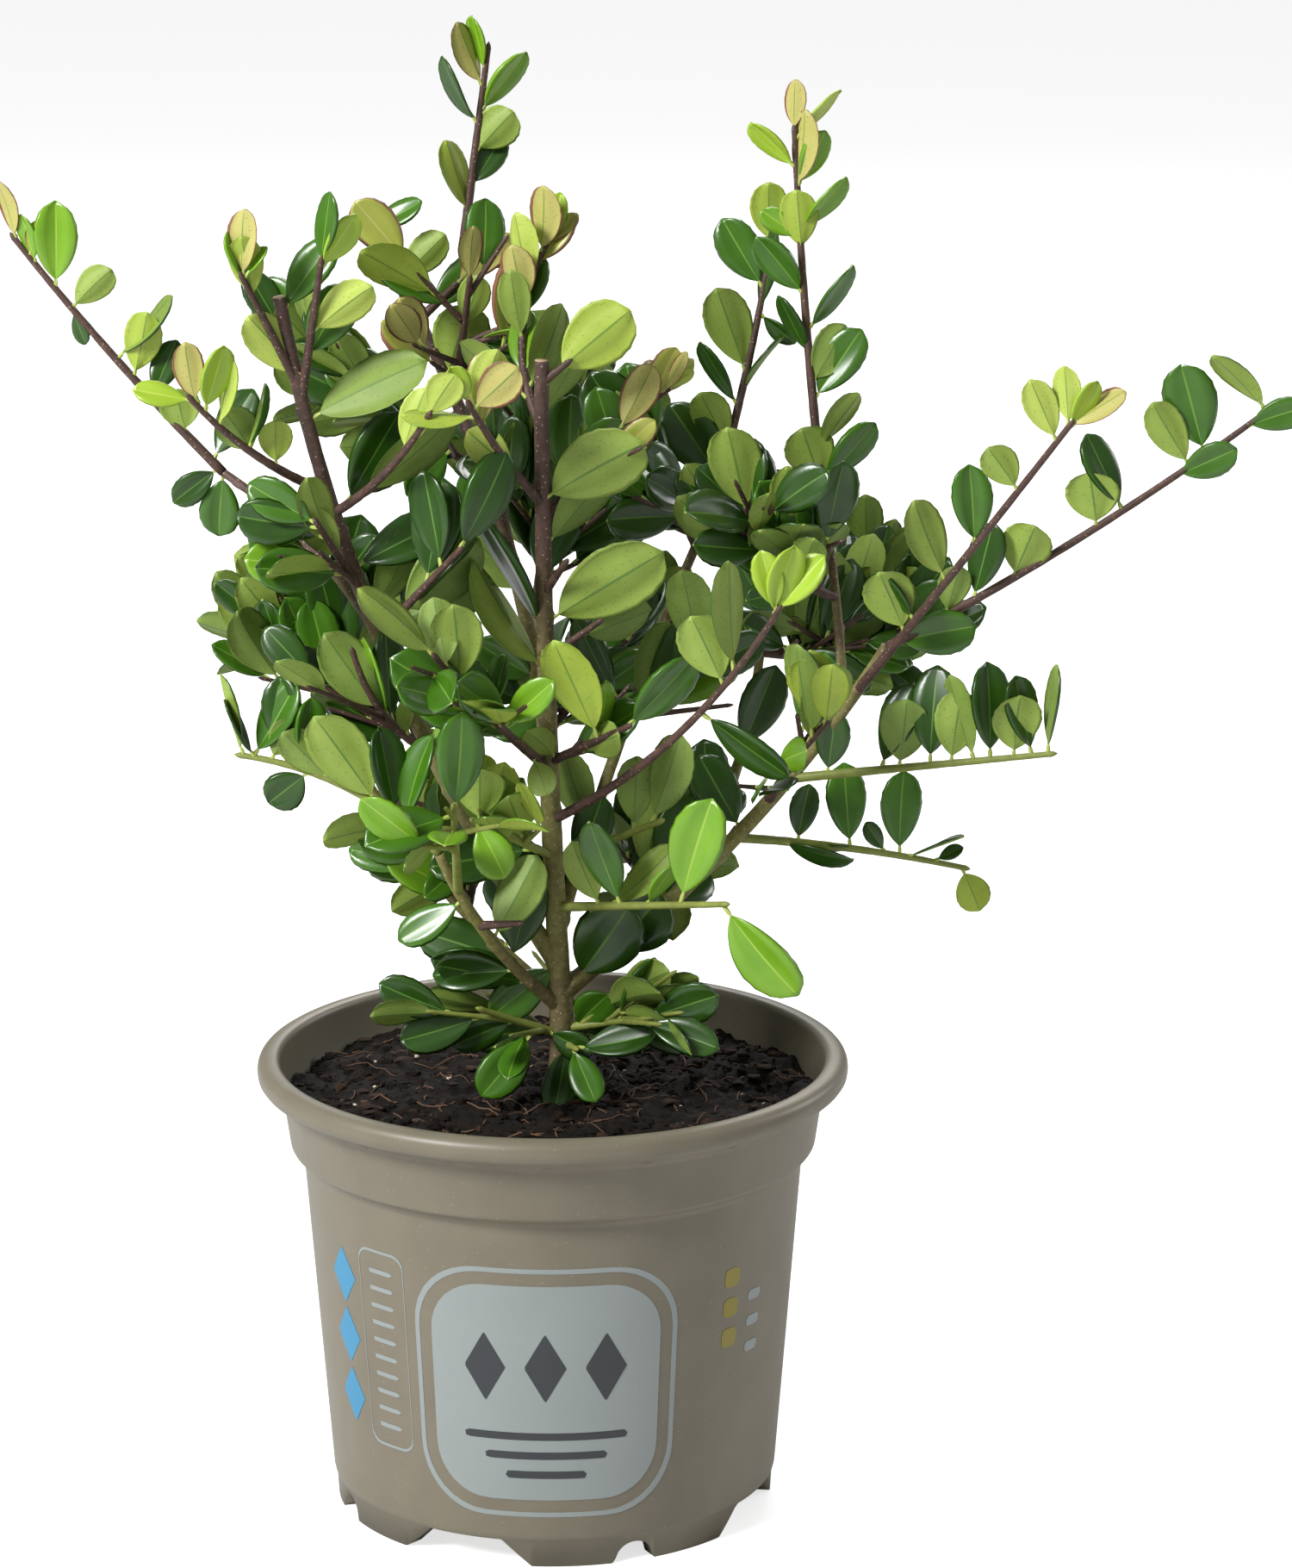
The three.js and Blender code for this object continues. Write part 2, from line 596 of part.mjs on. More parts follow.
function growMasses(limbs) {
  const curves = {};
  const stems = {};
  for (const [name, shoot] of Object.entries(SHOOTS)) {
    curves[name] = arc(limbs[shoot.on].curve.getPoint(shoot.at), shoot);
    stems[name] = pointsAlong(curves[name], 6);
  }
  const obstacles = {};
  for (const [name, { curve, radiusAt }] of Object.entries(limbs)) {
    obstacles[name] = { path: pointsAlong(curve, 8), width: radiusAt(0.3) };
  }
  return Object.entries(SHOOTS).map(([name, shoot], i) => {
    const inside = spaceOf(name, stems, obstacles);
    const whole = massSolid(curves[name], shoot, FIRST_SEED + i, inside);
    return [name, largestBody(whole.subtract(sleeve(limbs[shoot.on])).simplify(FINEST))];
  });
}

// The whole plant in its pot
const plant = new THREE.Group();
plant.add(meshFrom("pot", potSolid(), COLOURS.pot));
plant.add(meshFrom("soil", soilSolid(), COLOURS.soil));
const limbs = growLimbs();
for (const [name, { solid }] of Object.entries(limbs)) {
  plant.add(meshFrom(name === "trunk" ? name : `bough_${name}`, solid, COLOURS.bark));
}
for (const [name, solid] of growMasses(limbs)) {
  plant.add(meshFrom(`foliage_${name}`, solid, COLOURS.leaf));
}
const middle = new THREE.Box3().setFromObject(plant).getCenter(new THREE.Vector3());
plant.position.set(-middle.x, -middle.y, 0);

export default plant;
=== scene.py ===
# %% [markdown]
# # A small evergreen shrub in a plastic nursery pot
# The imported model is the fixed frame: a pot, its soil, a trunk with its boughs, and the masses of
# foliage as plain faceted solids. Blender dresses each of them here. Nothing is moved or resized,
# so the first cell loads the frame and keeps its box.

# %% Load the frame
import math

import bmesh
import bpy
import numpy as np
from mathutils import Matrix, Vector, noise


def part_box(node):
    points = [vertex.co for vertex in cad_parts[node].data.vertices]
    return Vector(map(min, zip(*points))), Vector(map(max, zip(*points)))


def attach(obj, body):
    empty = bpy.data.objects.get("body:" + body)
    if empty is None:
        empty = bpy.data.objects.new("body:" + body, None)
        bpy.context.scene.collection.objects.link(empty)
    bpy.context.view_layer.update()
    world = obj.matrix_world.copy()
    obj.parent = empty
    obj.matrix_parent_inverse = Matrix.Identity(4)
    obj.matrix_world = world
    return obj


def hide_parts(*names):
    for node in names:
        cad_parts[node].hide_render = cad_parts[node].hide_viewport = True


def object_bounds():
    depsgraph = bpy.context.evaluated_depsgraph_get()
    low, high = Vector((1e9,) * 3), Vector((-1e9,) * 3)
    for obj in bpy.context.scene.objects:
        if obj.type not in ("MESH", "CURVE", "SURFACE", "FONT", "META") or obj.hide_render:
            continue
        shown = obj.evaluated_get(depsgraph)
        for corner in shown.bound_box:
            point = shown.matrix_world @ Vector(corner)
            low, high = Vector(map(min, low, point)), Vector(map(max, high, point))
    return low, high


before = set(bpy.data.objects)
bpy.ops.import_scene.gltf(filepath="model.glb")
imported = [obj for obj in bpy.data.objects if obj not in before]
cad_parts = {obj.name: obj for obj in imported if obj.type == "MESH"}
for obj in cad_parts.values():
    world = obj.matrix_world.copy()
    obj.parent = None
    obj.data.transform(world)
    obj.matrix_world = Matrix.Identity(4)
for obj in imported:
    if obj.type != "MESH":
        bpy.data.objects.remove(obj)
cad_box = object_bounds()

print("nodes:", len(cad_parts), "box:", [tuple(round(v, 4) for v in corner) for corner in cad_box])

# %% [markdown]
# The plant is worked out in millimetres from the pot's axis, as the solids were. The frame says
# where that axis is, so one function turns such places into Blender's metres. Every piece is made
# from plain arrays of places and faces, because a joined mesh of many leaves is quickest that way.

# %% Millimetres from the pot's axis
MM = 0.001
pot_low, pot_high = (np.array(corner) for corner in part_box("pot"))
POT_AXIS = np.array([(pot_low[0] + pot_high[0]) / 2, (pot_low[1] + pot_high[1]) / 2, 0.0])


def in_metres(places):
    return np.asarray(places, dtype=float) * MM + POT_AXIS


def make_piece(name, places, faces, materials, slots=None, smooth=True, replaces=(), slot=None):
    """A mesh piece that rides on the plant's one body."""
    mesh = bpy.data.meshes.new(name)
    mesh.from_pydata(in_metres(places).tolist(), [], [tuple(face) for face in faces])
    for material in materials:
        mesh.materials.append(material)
    if slots is not None:
        mesh.polygons.foreach_set("material_index", np.asarray(slots, dtype=np.int32))
    mesh.polygons.foreach_set("use_smooth", np.full(len(mesh.polygons), smooth))
    mesh.validate()
    mesh.update()
    piece = bpy.data.objects.new(name, mesh)
    bpy.context.scene.collection.objects.link(piece)
    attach(piece, "root")
    if replaces:
        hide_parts(*replaces)
    triangles = sum(len(face) - 2 for face in faces)
    print(f"{name}: {len(places)} places, {triangles} triangles")
    return piece


def seeded_random(seed):
    """The same draws as in the solids' source: a linear congruential generator."""
    state = seed

    def draw():
        nonlocal state
        state = (state * 1664525 + 1013904223) & 0xFFFFFFFF
        return state / 2**32

    return draw


print("pot axis at", POT_AXIS)

# %% [markdown]
# The camera stands where the photograph was taken from: a little over a metre away, half a metre
# up, looking down by a seventh of a right angle through a long lens. Depth of field stays off.

# %% Camera
CAMERA_PLACE = (20.5, -1144.9, 458.8)  # mm from the pot's axis
CAMERA_PITCH = 14.52  # degrees below the horizon
CAMERA_LENS = 124.93  # mm, for the whole height of the picture on a 36 mm sensor

camera_data = bpy.data.cameras.new("camera")
camera_data.lens = CAMERA_LENS
camera_data.sensor_width = 36.0
camera_data.clip_start = 0.05
camera_data.clip_end = 50.0
camera = bpy.data.objects.new("camera", camera_data)
camera.location = in_metres(CAMERA_PLACE)
camera.rotation_euler = (math.radians(90 - CAMERA_PITCH), 0, 0)
bpy.context.scene.collection.objects.link(camera)
bpy.context.scene.camera = camera
print("camera at", tuple(round(v, 3) for v in camera.location))

# %% [markdown]
# The set is a pale floor that fades into a pale surround, under three large soft lights: a main
# one high on the left, a weaker one on the right, and one behind that lights the leaves' edges.
# The floor glows a little where the camera looks at it, so that it comes out as white paper
# without more light on the plant. A Light Path node does that, and it stays in the material.

# %% Floor and lights
def plain_material(name, colour, roughness):
    material = bpy.data.materials.new(name)
    material.use_nodes = True
    shader = material.node_tree.nodes["Principled BSDF"]
    shader.inputs["Base Color"].default_value = (*colour, 1)
    shader.inputs["Roughness"].default_value = roughness
    return material


def floor_material():
    """Pale paper that also glows a little, but only as the camera sees it, so it lights nothing."""
    material = plain_material("pale_floor", (0.75, 0.75, 0.75), 0.9)
    tree = material.node_tree
    shader = tree.nodes["Principled BSDF"]
    shader.inputs["Emission Color"].default_value = (1, 1, 1, 1)
    path = tree.nodes.new("ShaderNodeLightPath")
    glow = tree.nodes.new("ShaderNodeMath")
    glow.operation = "MULTIPLY"
    glow.inputs[1].default_value = 0.7
    tree.links.new(path.outputs["Is Camera Ray"], glow.inputs[0])
    tree.links.new(glow.outputs[0], shader.inputs["Emission Strength"])
    return material


def add_floor():
    size = 6.0
    corners = [(-size, -size, 0), (size, -size, 0), (size, size, 0), (-size, size, 0)]
    mesh = bpy.data.meshes.new("floor")
    mesh.from_pydata(corners, [], [(0, 1, 2, 3)])
    mesh.materials.append(floor_material())
    floor = bpy.data.objects.new("floor", mesh)
    bpy.context.scene.collection.objects.link(floor)


def add_light(name, place, target, size, power):
    data = bpy.data.lights.new(name, "AREA")
    data.shape = "DISK"
    data.size = size
    data.energy = power
    light = bpy.data.objects.new(name, data)
    light.location = place
    light.rotation_euler = (Vector(target) - Vector(place)).to_track_quat("-Z", "Y").to_euler()
    bpy.context.scene.collection.objects.link(light)


add_floor()
PLANT_MIDDLE = (0.0, 0.0, 0.19)
add_light("main", (-1.1, -0.9, 1.2), PLANT_MIDDLE, 0.6, 38)
add_light("side", (1.2, 0.6, 0.6), PLANT_MIDDLE, 0.5, 5)
add_light("behind", (0.1, 1.3, 1.2), PLANT_MIDDLE, 0.9, 12)

world = bpy.data.worlds.new("surround")
world.use_nodes = True
world.node_tree.nodes["Background"].inputs["Color"].default_value = (1, 1, 1, 1)
world.node_tree.nodes["Background"].inputs["Strength"].default_value = 0.25
bpy.context.scene.world = world
bpy.context.scene.view_settings.view_transform = "Standard"

# %% [markdown]
# Two effects serve several finishes, so each is a node group. Mottle mixes two colours by soft
# noise, as on leaves, bark and plastic, and gives the noise out as a height for a bump. Dots is a
# mask of small scattered dots: glands under a leaf, pores on bark, dust on a pot.

# %% Shared effects
def new_group(name, inputs, outputs):
    group = bpy.data.node_groups.new(name, "ShaderNodeTree")
    for label, kind, value in inputs:
        socket = group.interface.new_socket(label, in_out="INPUT", socket_type=kind)
        socket.default_value = value
    for label, kind in outputs:
        group.interface.new_socket(label, in_out="OUTPUT", socket_type=kind)
    start = group.nodes.new("NodeGroupInput")
    end = group.nodes.new("NodeGroupOutput")
    return group, start, end


def mottle_group():
    group, start, end = new_group(
        "mottle",
        [
            ("Colour A", "NodeSocketColor", (0.2, 0.2, 0.2, 1)),
            ("Colour B", "NodeSocketColor", (0.6, 0.6, 0.6, 1)),
            ("Scale", "NodeSocketFloat", 100.0),
            ("Contrast", "NodeSocketFloat", 1.0),
        ],
        [("Colour", "NodeSocketColor"), ("Height", "NodeSocketFloat")],
    )
    nodes, link = group.nodes, group.links.new
    place = nodes.new("ShaderNodeTexCoord")
    grain = nodes.new("ShaderNodeTexNoise")
    grain.inputs["Detail"].default_value = 4.0
    link(place.outputs["Object"], grain.inputs["Vector"])
    link(start.outputs["Scale"], grain.inputs["Scale"])
    centred = nodes.new("ShaderNodeMath")
    centred.operation = "SUBTRACT"
    centred.inputs[1].default_value = 0.5
    link(grain.outputs["Fac"], centred.inputs[0])
    stretched = nodes.new("ShaderNodeMath")
    stretched.operation = "MULTIPLY_ADD"
    stretched.inputs[2].default_value = 0.5
    stretched.use_clamp = True
    link(centred.outputs[0], stretched.inputs[0])
    link(start.outputs["Contrast"], stretched.inputs[1])
    mixed = nodes.new("ShaderNodeMix")
    mixed.data_type = "RGBA"
    link(stretched.outputs[0], mixed.inputs["Factor"])
    link(start.outputs["Colour A"], mixed.inputs["A"])
    link(start.outputs["Colour B"], mixed.inputs["B"])
    link(mixed.outputs["Result"], end.inputs["Colour"])
    link(grain.outputs["Fac"], end.inputs["Height"])
    return group


def dots_group():
    group, start, end = new_group(
        "dots",
        [
            ("Scale", "NodeSocketFloat", 800.0),
            ("Size", "NodeSocketFloat", 0.25),
            ("Colour", "NodeSocketColor", (0.5, 0.5, 0.5, 1)),
            ("Dot colour", "NodeSocketColor", (0.1, 0.1, 0.1, 1)),
            ("Strength", "NodeSocketFloat", 0.5),
        ],
        [("Colour", "NodeSocketColor"), ("Mask", "NodeSocketFloat")],
    )
    nodes, link = group.nodes, group.links.new
    place = nodes.new("ShaderNodeTexCoord")
    cells = nodes.new("ShaderNodeTexVoronoi")
    link(place.outputs["Object"], cells.inputs["Vector"])
    link(start.outputs["Scale"], cells.inputs["Scale"])
    edge = nodes.new("ShaderNodeMapRange")
    edge.interpolation_type = "SMOOTHSTEP"
    edge.inputs["To Min"].default_value = 1.0
    edge.inputs["To Max"].default_value = 0.0
    link(cells.outputs["Distance"], edge.inputs["Value"])
    narrow = nodes.new("ShaderNodeMath")
    narrow.operation = "MULTIPLY"
    narrow.inputs[1].default_value = 0.6
    link(start.outputs["Size"], narrow.inputs[0])
    link(narrow.outputs[0], edge.inputs["From Min"])
    link(start.outputs["Size"], edge.inputs["From Max"])
    faded = nodes.new("ShaderNodeMath")
    faded.operation = "MULTIPLY"
    link(edge.outputs["Result"], faded.inputs[0])
    link(start.outputs["Strength"], faded.inputs[1])
    mixed = nodes.new("ShaderNodeMix")
    mixed.data_type = "RGBA"
    link(faded.outputs[0], mixed.inputs["Factor"])
    link(start.outputs["Colour"], mixed.inputs["A"])
    link(start.outputs["Dot colour"], mixed.inputs["B"])
    link(mixed.outputs["Result"], end.inputs["Colour"])
    link(edge.outputs["Result"], end.inputs["Mask"])
    return group


MOTTLE = mottle_group()
DOTS = dots_group()


def colour(code):
    """A colour written as on a paint card, such as 8d8674, in Blender's linear values."""
    parts = [int(code[i : i + 2], 16) / 255 for i in (0, 2, 4)]
    return tuple(v / 12.92 if v <= 0.04045 else ((v + 0.055) / 1.055) ** 2.4 for v in parts)


def add_group(tree, group, **values):
    node = tree.nodes.new("ShaderNodeGroup")
    node.node_tree = group
    for label, value in values.items():
        shown = (*value, 1) if isinstance(value, tuple) else value
        node.inputs[label.replace("_", " ")].default_value = shown
    return node


def mottled_material(name, first, second, scale, contrast=2.0, roughness=0.5, bump=0.0, depth=0.0001):
    """A finish whose colour wanders between two, over a fine relief from the same noise."""
    material = plain_material(name, colour(first), roughness)
    tree = material.node_tree
    shader = tree.nodes["Principled BSDF"]
    values = {"Colour_A": colour(first), "Colour_B": colour(second), "Scale": scale, "Contrast": contrast}
    mottle = add_group(tree, MOTTLE, **values)
    tree.links.new(mottle.outputs["Colour"], shader.inputs["Base Color"])
    if bump:
        relief = tree.nodes.new("ShaderNodeBump")
        relief.inputs["Strength"].default_value = bump
        relief.inputs["Distance"].default_value = depth
        tree.links.new(mottle.outputs["Height"], relief.inputs["Height"])
        tree.links.new(relief.outputs["Normal"], shader.inputs["Normal"])
    return material


def add_dots(material, scale, size, dot_colour, strength):
    """Scatters small dots over the colour that a material already has."""
    tree = material.node_tree
    shader = tree.nodes["Principled BSDF"]
    source = shader.inputs["Base Color"].links[0].from_socket
    dots = add_group(tree, DOTS, Scale=scale, Size=size, Dot_colour=colour(dot_colour), Strength=strength)
    tree.links.new(source, dots.inputs["Colour"])
    tree.links.new(dots.outputs["Colour"], shader.inputs["Base Color"])
    return material


print("effects:", MOTTLE.name, DOTS.name)

# %% [markdown]
# The pot is thin moulded plastic. Its wall is turned: one profile goes round the axis, with a
# rolled lip, a shallow band under it and a collar over the body. The feet are cut below the fold,
# so there the profile's lowest points rise and fall with the turn instead. The gaps between feet
# have slanting sides, and each foot has a small arch in its middle.

# %% Pot shape
FOLD_RADIUS, FOLD_HEIGHT = 49.3, 6.6
SHOULDER_RADIUS, SHOULDER_HEIGHT = 55.0, 79.0
COLLAR_RADIUS, COLLAR_HEIGHT = 57.9, 81.8
BAND_RADIUS, BAND_HEIGHT = 60.4, 94.4
LIP_RADIUS, LIP_HEIGHT = 65.0, 98.5
RIM_RADIUS, RIM_HEIGHT = 59.9, 101.5
WALL = 1.5
FOOT_INSET, FOOT_DEPTH = 0.5, 5.5
FIRST_FOOT, FOOT_COUNT = 22.0, 4
GAP_TOP, GAP_BOTTOM = 17.0, 31.0
ARCH_WIDTH, ARCH_HEIGHT = 9.4, 4.5
POT_TURNS = 432


def rounded(corner, start, end, steps=4):
    """Points of a quarter round between two places that lean on a corner."""
    shares = np.linspace(0, 1, steps + 1)
    a, b, c = (np.array(p, dtype=float) for p in (start, corner, end))
    return [tuple((1 - t) ** 2 * a + 2 * t * (1 - t) * b + t * t * c) for t in shares]


def foot_line(turn):
    """Height of the underside of the ring of feet at a turn in degrees, 0 at the front."""
    top = FOLD_HEIGHT - 0.6
    pitch = 360 / FOOT_COUNT
    from_foot = (turn - FIRST_FOOT + pitch / 2) % pitch - pitch / 2
    across_foot = abs(math.radians(from_foot)) * FOLD_RADIUS
    across_gap = abs(math.radians(pitch / 2 - abs(from_foot))) * FOLD_RADIUS
    slope = top / ((GAP_BOTTOM - GAP_TOP) / 2)
    gap = min(top, max(0.0, (GAP_BOTTOM / 2 - across_gap) * slope))
    half = ARCH_WIDTH / 2
    arch = ARCH_HEIGHT * math.sqrt(max(0.0, 1 - (across_foot / half) ** 2))
    return max(gap, arch)


def pot_profile():
    """(radius, height) from the middle of the underside, over the lip, to the middle of the floor."""
    outer = FOLD_RADIUS - FOOT_INSET
    inner = outer - FOOT_DEPTH
    top = FOLD_HEIGHT - 0.6
    below = [(0, top), (inner - 12, top), (inner, top), (inner + 0.5, 0), (outer - 0.4, 0), (outer, top)]
    body = rounded((FOLD_RADIUS, FOLD_HEIGHT - 0.3), (outer, top), (FOLD_RADIUS + 0.1, FOLD_HEIGHT + 1.2))
    widening, rising = SHOULDER_RADIUS - FOLD_RADIUS, SHOULDER_HEIGHT - FOLD_HEIGHT
    body += [(FOLD_RADIUS + widening * t, FOLD_HEIGHT + rising * t) for t in (0.25, 0.5, 0.75, 0.97)]
    body += rounded((SHOULDER_RADIUS, SHOULDER_HEIGHT + 0.9), (SHOULDER_RADIUS, SHOULDER_HEIGHT),
                    (SHOULDER_RADIUS + 1.6, COLLAR_HEIGHT - 0.5))
    body += rounded((COLLAR_RADIUS, COLLAR_HEIGHT - 0.1), (COLLAR_RADIUS - 0.9, COLLAR_HEIGHT - 0.4),
                    (COLLAR_RADIUS + 0.1, COLLAR_HEIGHT + 1.0))
    body += [(BAND_RADIUS - 0.9, BAND_HEIGHT - 1.2)]
    body += rounded((BAND_RADIUS - 0.2, BAND_HEIGHT - 0.3), (BAND_RADIUS - 0.7, BAND_HEIGHT - 0.7),
                    (BAND_RADIUS + 0.1, BAND_HEIGHT + 0.2))
    lip = rounded((LIP_RADIUS + 0.1, LIP_HEIGHT - 2.6), (BAND_RADIUS + 1.6, LIP_HEIGHT - 2.5),
                  (LIP_RADIUS, LIP_HEIGHT))
    lip += rounded((LIP_RADIUS - 0.1, RIM_HEIGHT), (LIP_RADIUS, LIP_HEIGHT + 0.3),
                   (LIP_RADIUS - 3, RIM_HEIGHT), 6)
    lip += rounded((RIM_RADIUS, RIM_HEIGHT), (LIP_RADIUS - 3.4, RIM_HEIGHT),
                   (RIM_RADIUS, RIM_HEIGHT - 1.8), 5)
    inside = [(BAND_RADIUS - WALL, BAND_HEIGHT), (COLLAR_RADIUS - WALL, COLLAR_HEIGHT + 0.8)]
    inside += [(SHOULDER_RADIUS - WALL, SHOULDER_HEIGHT + 0.8), (FOLD_RADIUS - WALL, FOLD_HEIGHT + WALL)]
    under_lip, floor_middle = (BAND_RADIUS + 0.4, LIP_HEIGHT - 2.7), (0, FOLD_HEIGHT + WALL)
    return below + body[1:] + [under_lip] + lip + inside + [floor_middle]


def turned_mesh(profile, turns, place):
    """Turns a profile round the axis. The first and last points lie on it, as one place each."""
    rings = len(profile) - 2
    places = [place(*profile[0], 0), place(*profile[-1], 0)]
    for k in range(turns):
        turn = 360 * k / turns
        places += [place(radius, height, turn) for radius, height in profile[1:-1]]
    faces = []
    for k in range(turns):
        here, beside = 2 + k * rings, 2 + (k + 1) % turns * rings
        faces.append((0, beside, here))
        faces += [(here + i, beside + i, beside + i + 1, here + i + 1) for i in range(rings - 1)]
        faces.append((here + rings - 1, beside + rings - 1, 1))
    return places, faces


def round_the_pot(radius, height, turn):
    angle = math.radians(turn)
    return (radius * math.sin(angle), -radius * math.cos(angle), height)


def pot_place(radius, height, turn):
    """A place on the pot: the feet's underside follows their gaps and arches, and the band has notches."""
    if height == 0:
        height = foot_line(turn)
    if BAND_HEIGHT < height < LIP_HEIGHT - 2 and radius < BAND_RADIUS + 1:
        radius -= 0.25 * (math.cos(math.radians(turn * 18)) > 0.985)
    return round_the_pot(radius, height, turn)


PLASTIC = mottled_material("taupe_plastic", "736c5c", "7d7665", 90.0, 1.6, 0.42, 0.25, 0.00006)
add_dots(PLASTIC, 420.0, 0.09, "a59f90", 0.5)
places, faces = turned_mesh(pot_profile(), POT_TURNS, pot_place)
make_piece("nursery_pot", places, faces, [PLASTIC], replaces=["pot"], slot="pot")

# %% [markdown]
# The front of the pot carries a plain printed pattern. Each printed shape is a thin raised film
# that follows the cone: a closed curve drawn flat, shrunk towards its middle in a few loops, and
# wrapped round the wall. The motifs are simple lozenges, bars and squares.

# %% Printed pattern
def wrapped(across, height, stand_off):
    """A place on the pot's body, at a distance round it from the front, and a height."""
    share = (height - FOLD_HEIGHT) / (SHOULDER_HEIGHT - FOLD_HEIGHT)
    radius = FOLD_RADIUS + (SHOULDER_RADIUS - FOLD_RADIUS) * share
    turn = math.degrees(across / 52.0)
    return round_the_pot(radius + stand_off, height, turn)


def evenly(corners, spacing=1.1):
    """Places at even spacing along a closed line of corners."""
    corners = np.asarray(corners, dtype=float)
    after = np.roll(corners, -1, axis=0)
    distance = np.concatenate([[0], np.cumsum(np.linalg.norm(after - corners, axis=1))])
    count = max(12, int(distance[-1] / spacing))
    wanted = np.linspace(0, distance[-1], count, endpoint=False)
    closed = np.concatenate([corners, corners[:1]])
    return np.stack([np.interp(wanted, distance, closed[:, k]) for k in (0, 1)], axis=1)


def rounded_box(width, height, corner):
    """The outline of a box with rounded corners."""
    points = []
    for quarter, (x, y) in enumerate([(1, 1), (-1, 1), (-1, -1), (1, -1)]):
        for angle in np.radians(np.linspace(0, 90, 9) + 90 * quarter):
            across = x * (width / 2 - corner) + corner * math.cos(angle)
            points.append((across, y * (height / 2 - corner) + corner * math.sin(angle)))
    return evenly(points)


def lozenge(width, height):
    return evenly([(width / 2, 0), (0, height / 2), (-width / 2, 0), (0, -height / 2)], 0.8)


def film(outline, centre, border=None, lift=0.09):
    """A closed thin film over an outline, or only a border of it when a border width is given."""
    reach = np.abs(outline).max()
    inner = max(0.0, 1 - border / reach) if border else 0.02
    loops = max(3, math.ceil(reach * (1 - inner) / 1.3) + 1)
    shares = np.linspace(1, inner, loops)
    count = len(outline)
    layers = []
    for stand_off in (lift, -0.05):
        for share in shares:
            layers += [wrapped(centre[0] + share * x, centre[1] + share * y, stand_off) for x, y in outline]
    faces = []
    under = loops * count
    for i in range(count):
        j = (i + 1) % count
        for k in range(loops - 1):
            a, b = k * count, (k + 1) * count
            faces.append((a + i, a + j, b + j, b + i))
            faces.append((under + a + j, under + a + i, under + b + i, under + b + j))
        last = (loops - 1) * count
        faces.append((under + i, under + j, j, i))
        if border:
            faces.append((last + i, last + j, under + last + j, under + last + i))
    if not border:
        faces.append(tuple(last + i for i in range(count)))
        faces.append(tuple(under + last + i for i in reversed(range(count))))
    return layers, faces


def join_parts(parts):
    """Several (places, faces) as one, with the index of the part of each face."""
    places, faces, numbers = [], [], []
    for number, (more, shapes) in enumerate(parts):
        start = len(places)
        places += list(more)
        faces += [tuple(start + i for i in face) for face in shapes]
        numbers += [number] * len(shapes)
    return places, faces, numbers


PALE_INK = mottled_material("pale_ink", "8d9594", "969e9c", 60.0, 1.0, 0.5)
MUSTARD_INK = mottled_material("mustard_ink", "8c8030", "968a38", 60.0, 1.0, 0.5)
BLUE_INK = mottled_material("blue_ink", "3a86ae", "4490b8", 60.0, 1.0, 0.5)
DARK_INK = mottled_material("dark_ink", "33363a", "3b3e41", 60.0, 1.0, 0.5)

PANEL_ACROSS, PANEL_HEIGHT = -1.0, 41.0  # middle of the front panel
pale_parts = [film(rounded_box(50, 50, 12), (PANEL_ACROSS, PANEL_HEIGHT))]
pale_parts += [film(rounded_box(58, 58, 15), (PANEL_ACROSS, PANEL_HEIGHT), border=1.1)]
pale_parts += [film(rounded_box(13, 46, 3), (-39, 46), border=0.6)]
pale_parts += [film(rounded_box(7, 1.0, 0.4), (-39, 64 - 4 * k)) for k in range(10)]
pale_parts += [film(rounded_box(4.5, 2.4, 0.6), (50.5, 56 - 6 * k)) for k in range(3)]
places, faces, _ = join_parts(pale_parts)
make_piece("print_pale", places, faces, [PALE_INK], smooth=False, slot="pot")

mustard_parts = [film(rounded_box(4.4, 4.4, 1), (42.5, 62 - 7 * k)) for k in range(3)]
places, faces, _ = join_parts(mustard_parts)
make_piece("print_mustard", places, faces, [MUSTARD_INK], smooth=False, slot="pot")

blue_parts = [film(lozenge(9, 13), (-52, 60 - 14 * k)) for k in range(3)]
places, faces, _ = join_parts(blue_parts)
make_piece("print_blue", places, faces, [BLUE_INK], smooth=False, slot="pot")

OVER_PANEL = 0.16  # mm, so that the dark shapes lie on the pale film
dark_parts = [film(lozenge(9, 16), (PANEL_ACROSS + 13 * k, PANEL_HEIGHT + 6), lift=OVER_PANEL)
              for k in (-1, 0, 1)]
dark_parts += [film(rounded_box(36 - 9 * k, 1.7, 0.7), (PANEL_ACROSS, PANEL_HEIGHT - 10 - 4.5 * k),
                    lift=OVER_PANEL) for k in range(3)]
places, faces, _ = join_parts(dark_parts)
make_piece("print_dark", places, faces, [DARK_INK], smooth=False, slot="pot")

# %% [markdown]
# The soil is dark, moist peat. A fine turned surface follows the same gentle waves as the solid
# and gets lumps from several octaves of noise. Crumbs, fibres, chips of bark and a few pale grains
# lie on it, because loose pieces that cast shadows make soil look real.

# %% Soil surface
SOIL_LEVEL, SOIL_FLAT, SOIL_DROP, SOIL_LUMP = 94.0, 9.0, 1.6, 0.9
TRUNK_FOOT = (3.0, -6.0)
SOIL_TURNS, SOIL_RINGS = 260, 64
SOIL_EDGE = 58.3


def smooth_step(value, low, high):
    share = min(1.0, max(0.0, (value - low) / (high - low)))
    return share * share * (3 - 2 * share)


def soil_waves(x, y):
    """The solid's own surface."""
    free = smooth_step(math.hypot(x - TRUNK_FOOT[0], y - TRUNK_FOOT[1]), SOIL_FLAT, 3 * SOIL_FLAT)
    waves = math.sin(0.21 * x + 1.3) * math.cos(0.17 * y) + 0.6 * math.sin(0.33 * y + 0.25 * x)
    return SOIL_LEVEL + free * (SOIL_LUMP * waves - SOIL_DROP * math.hypot(x, y) / (BAND_RADIUS - WALL))


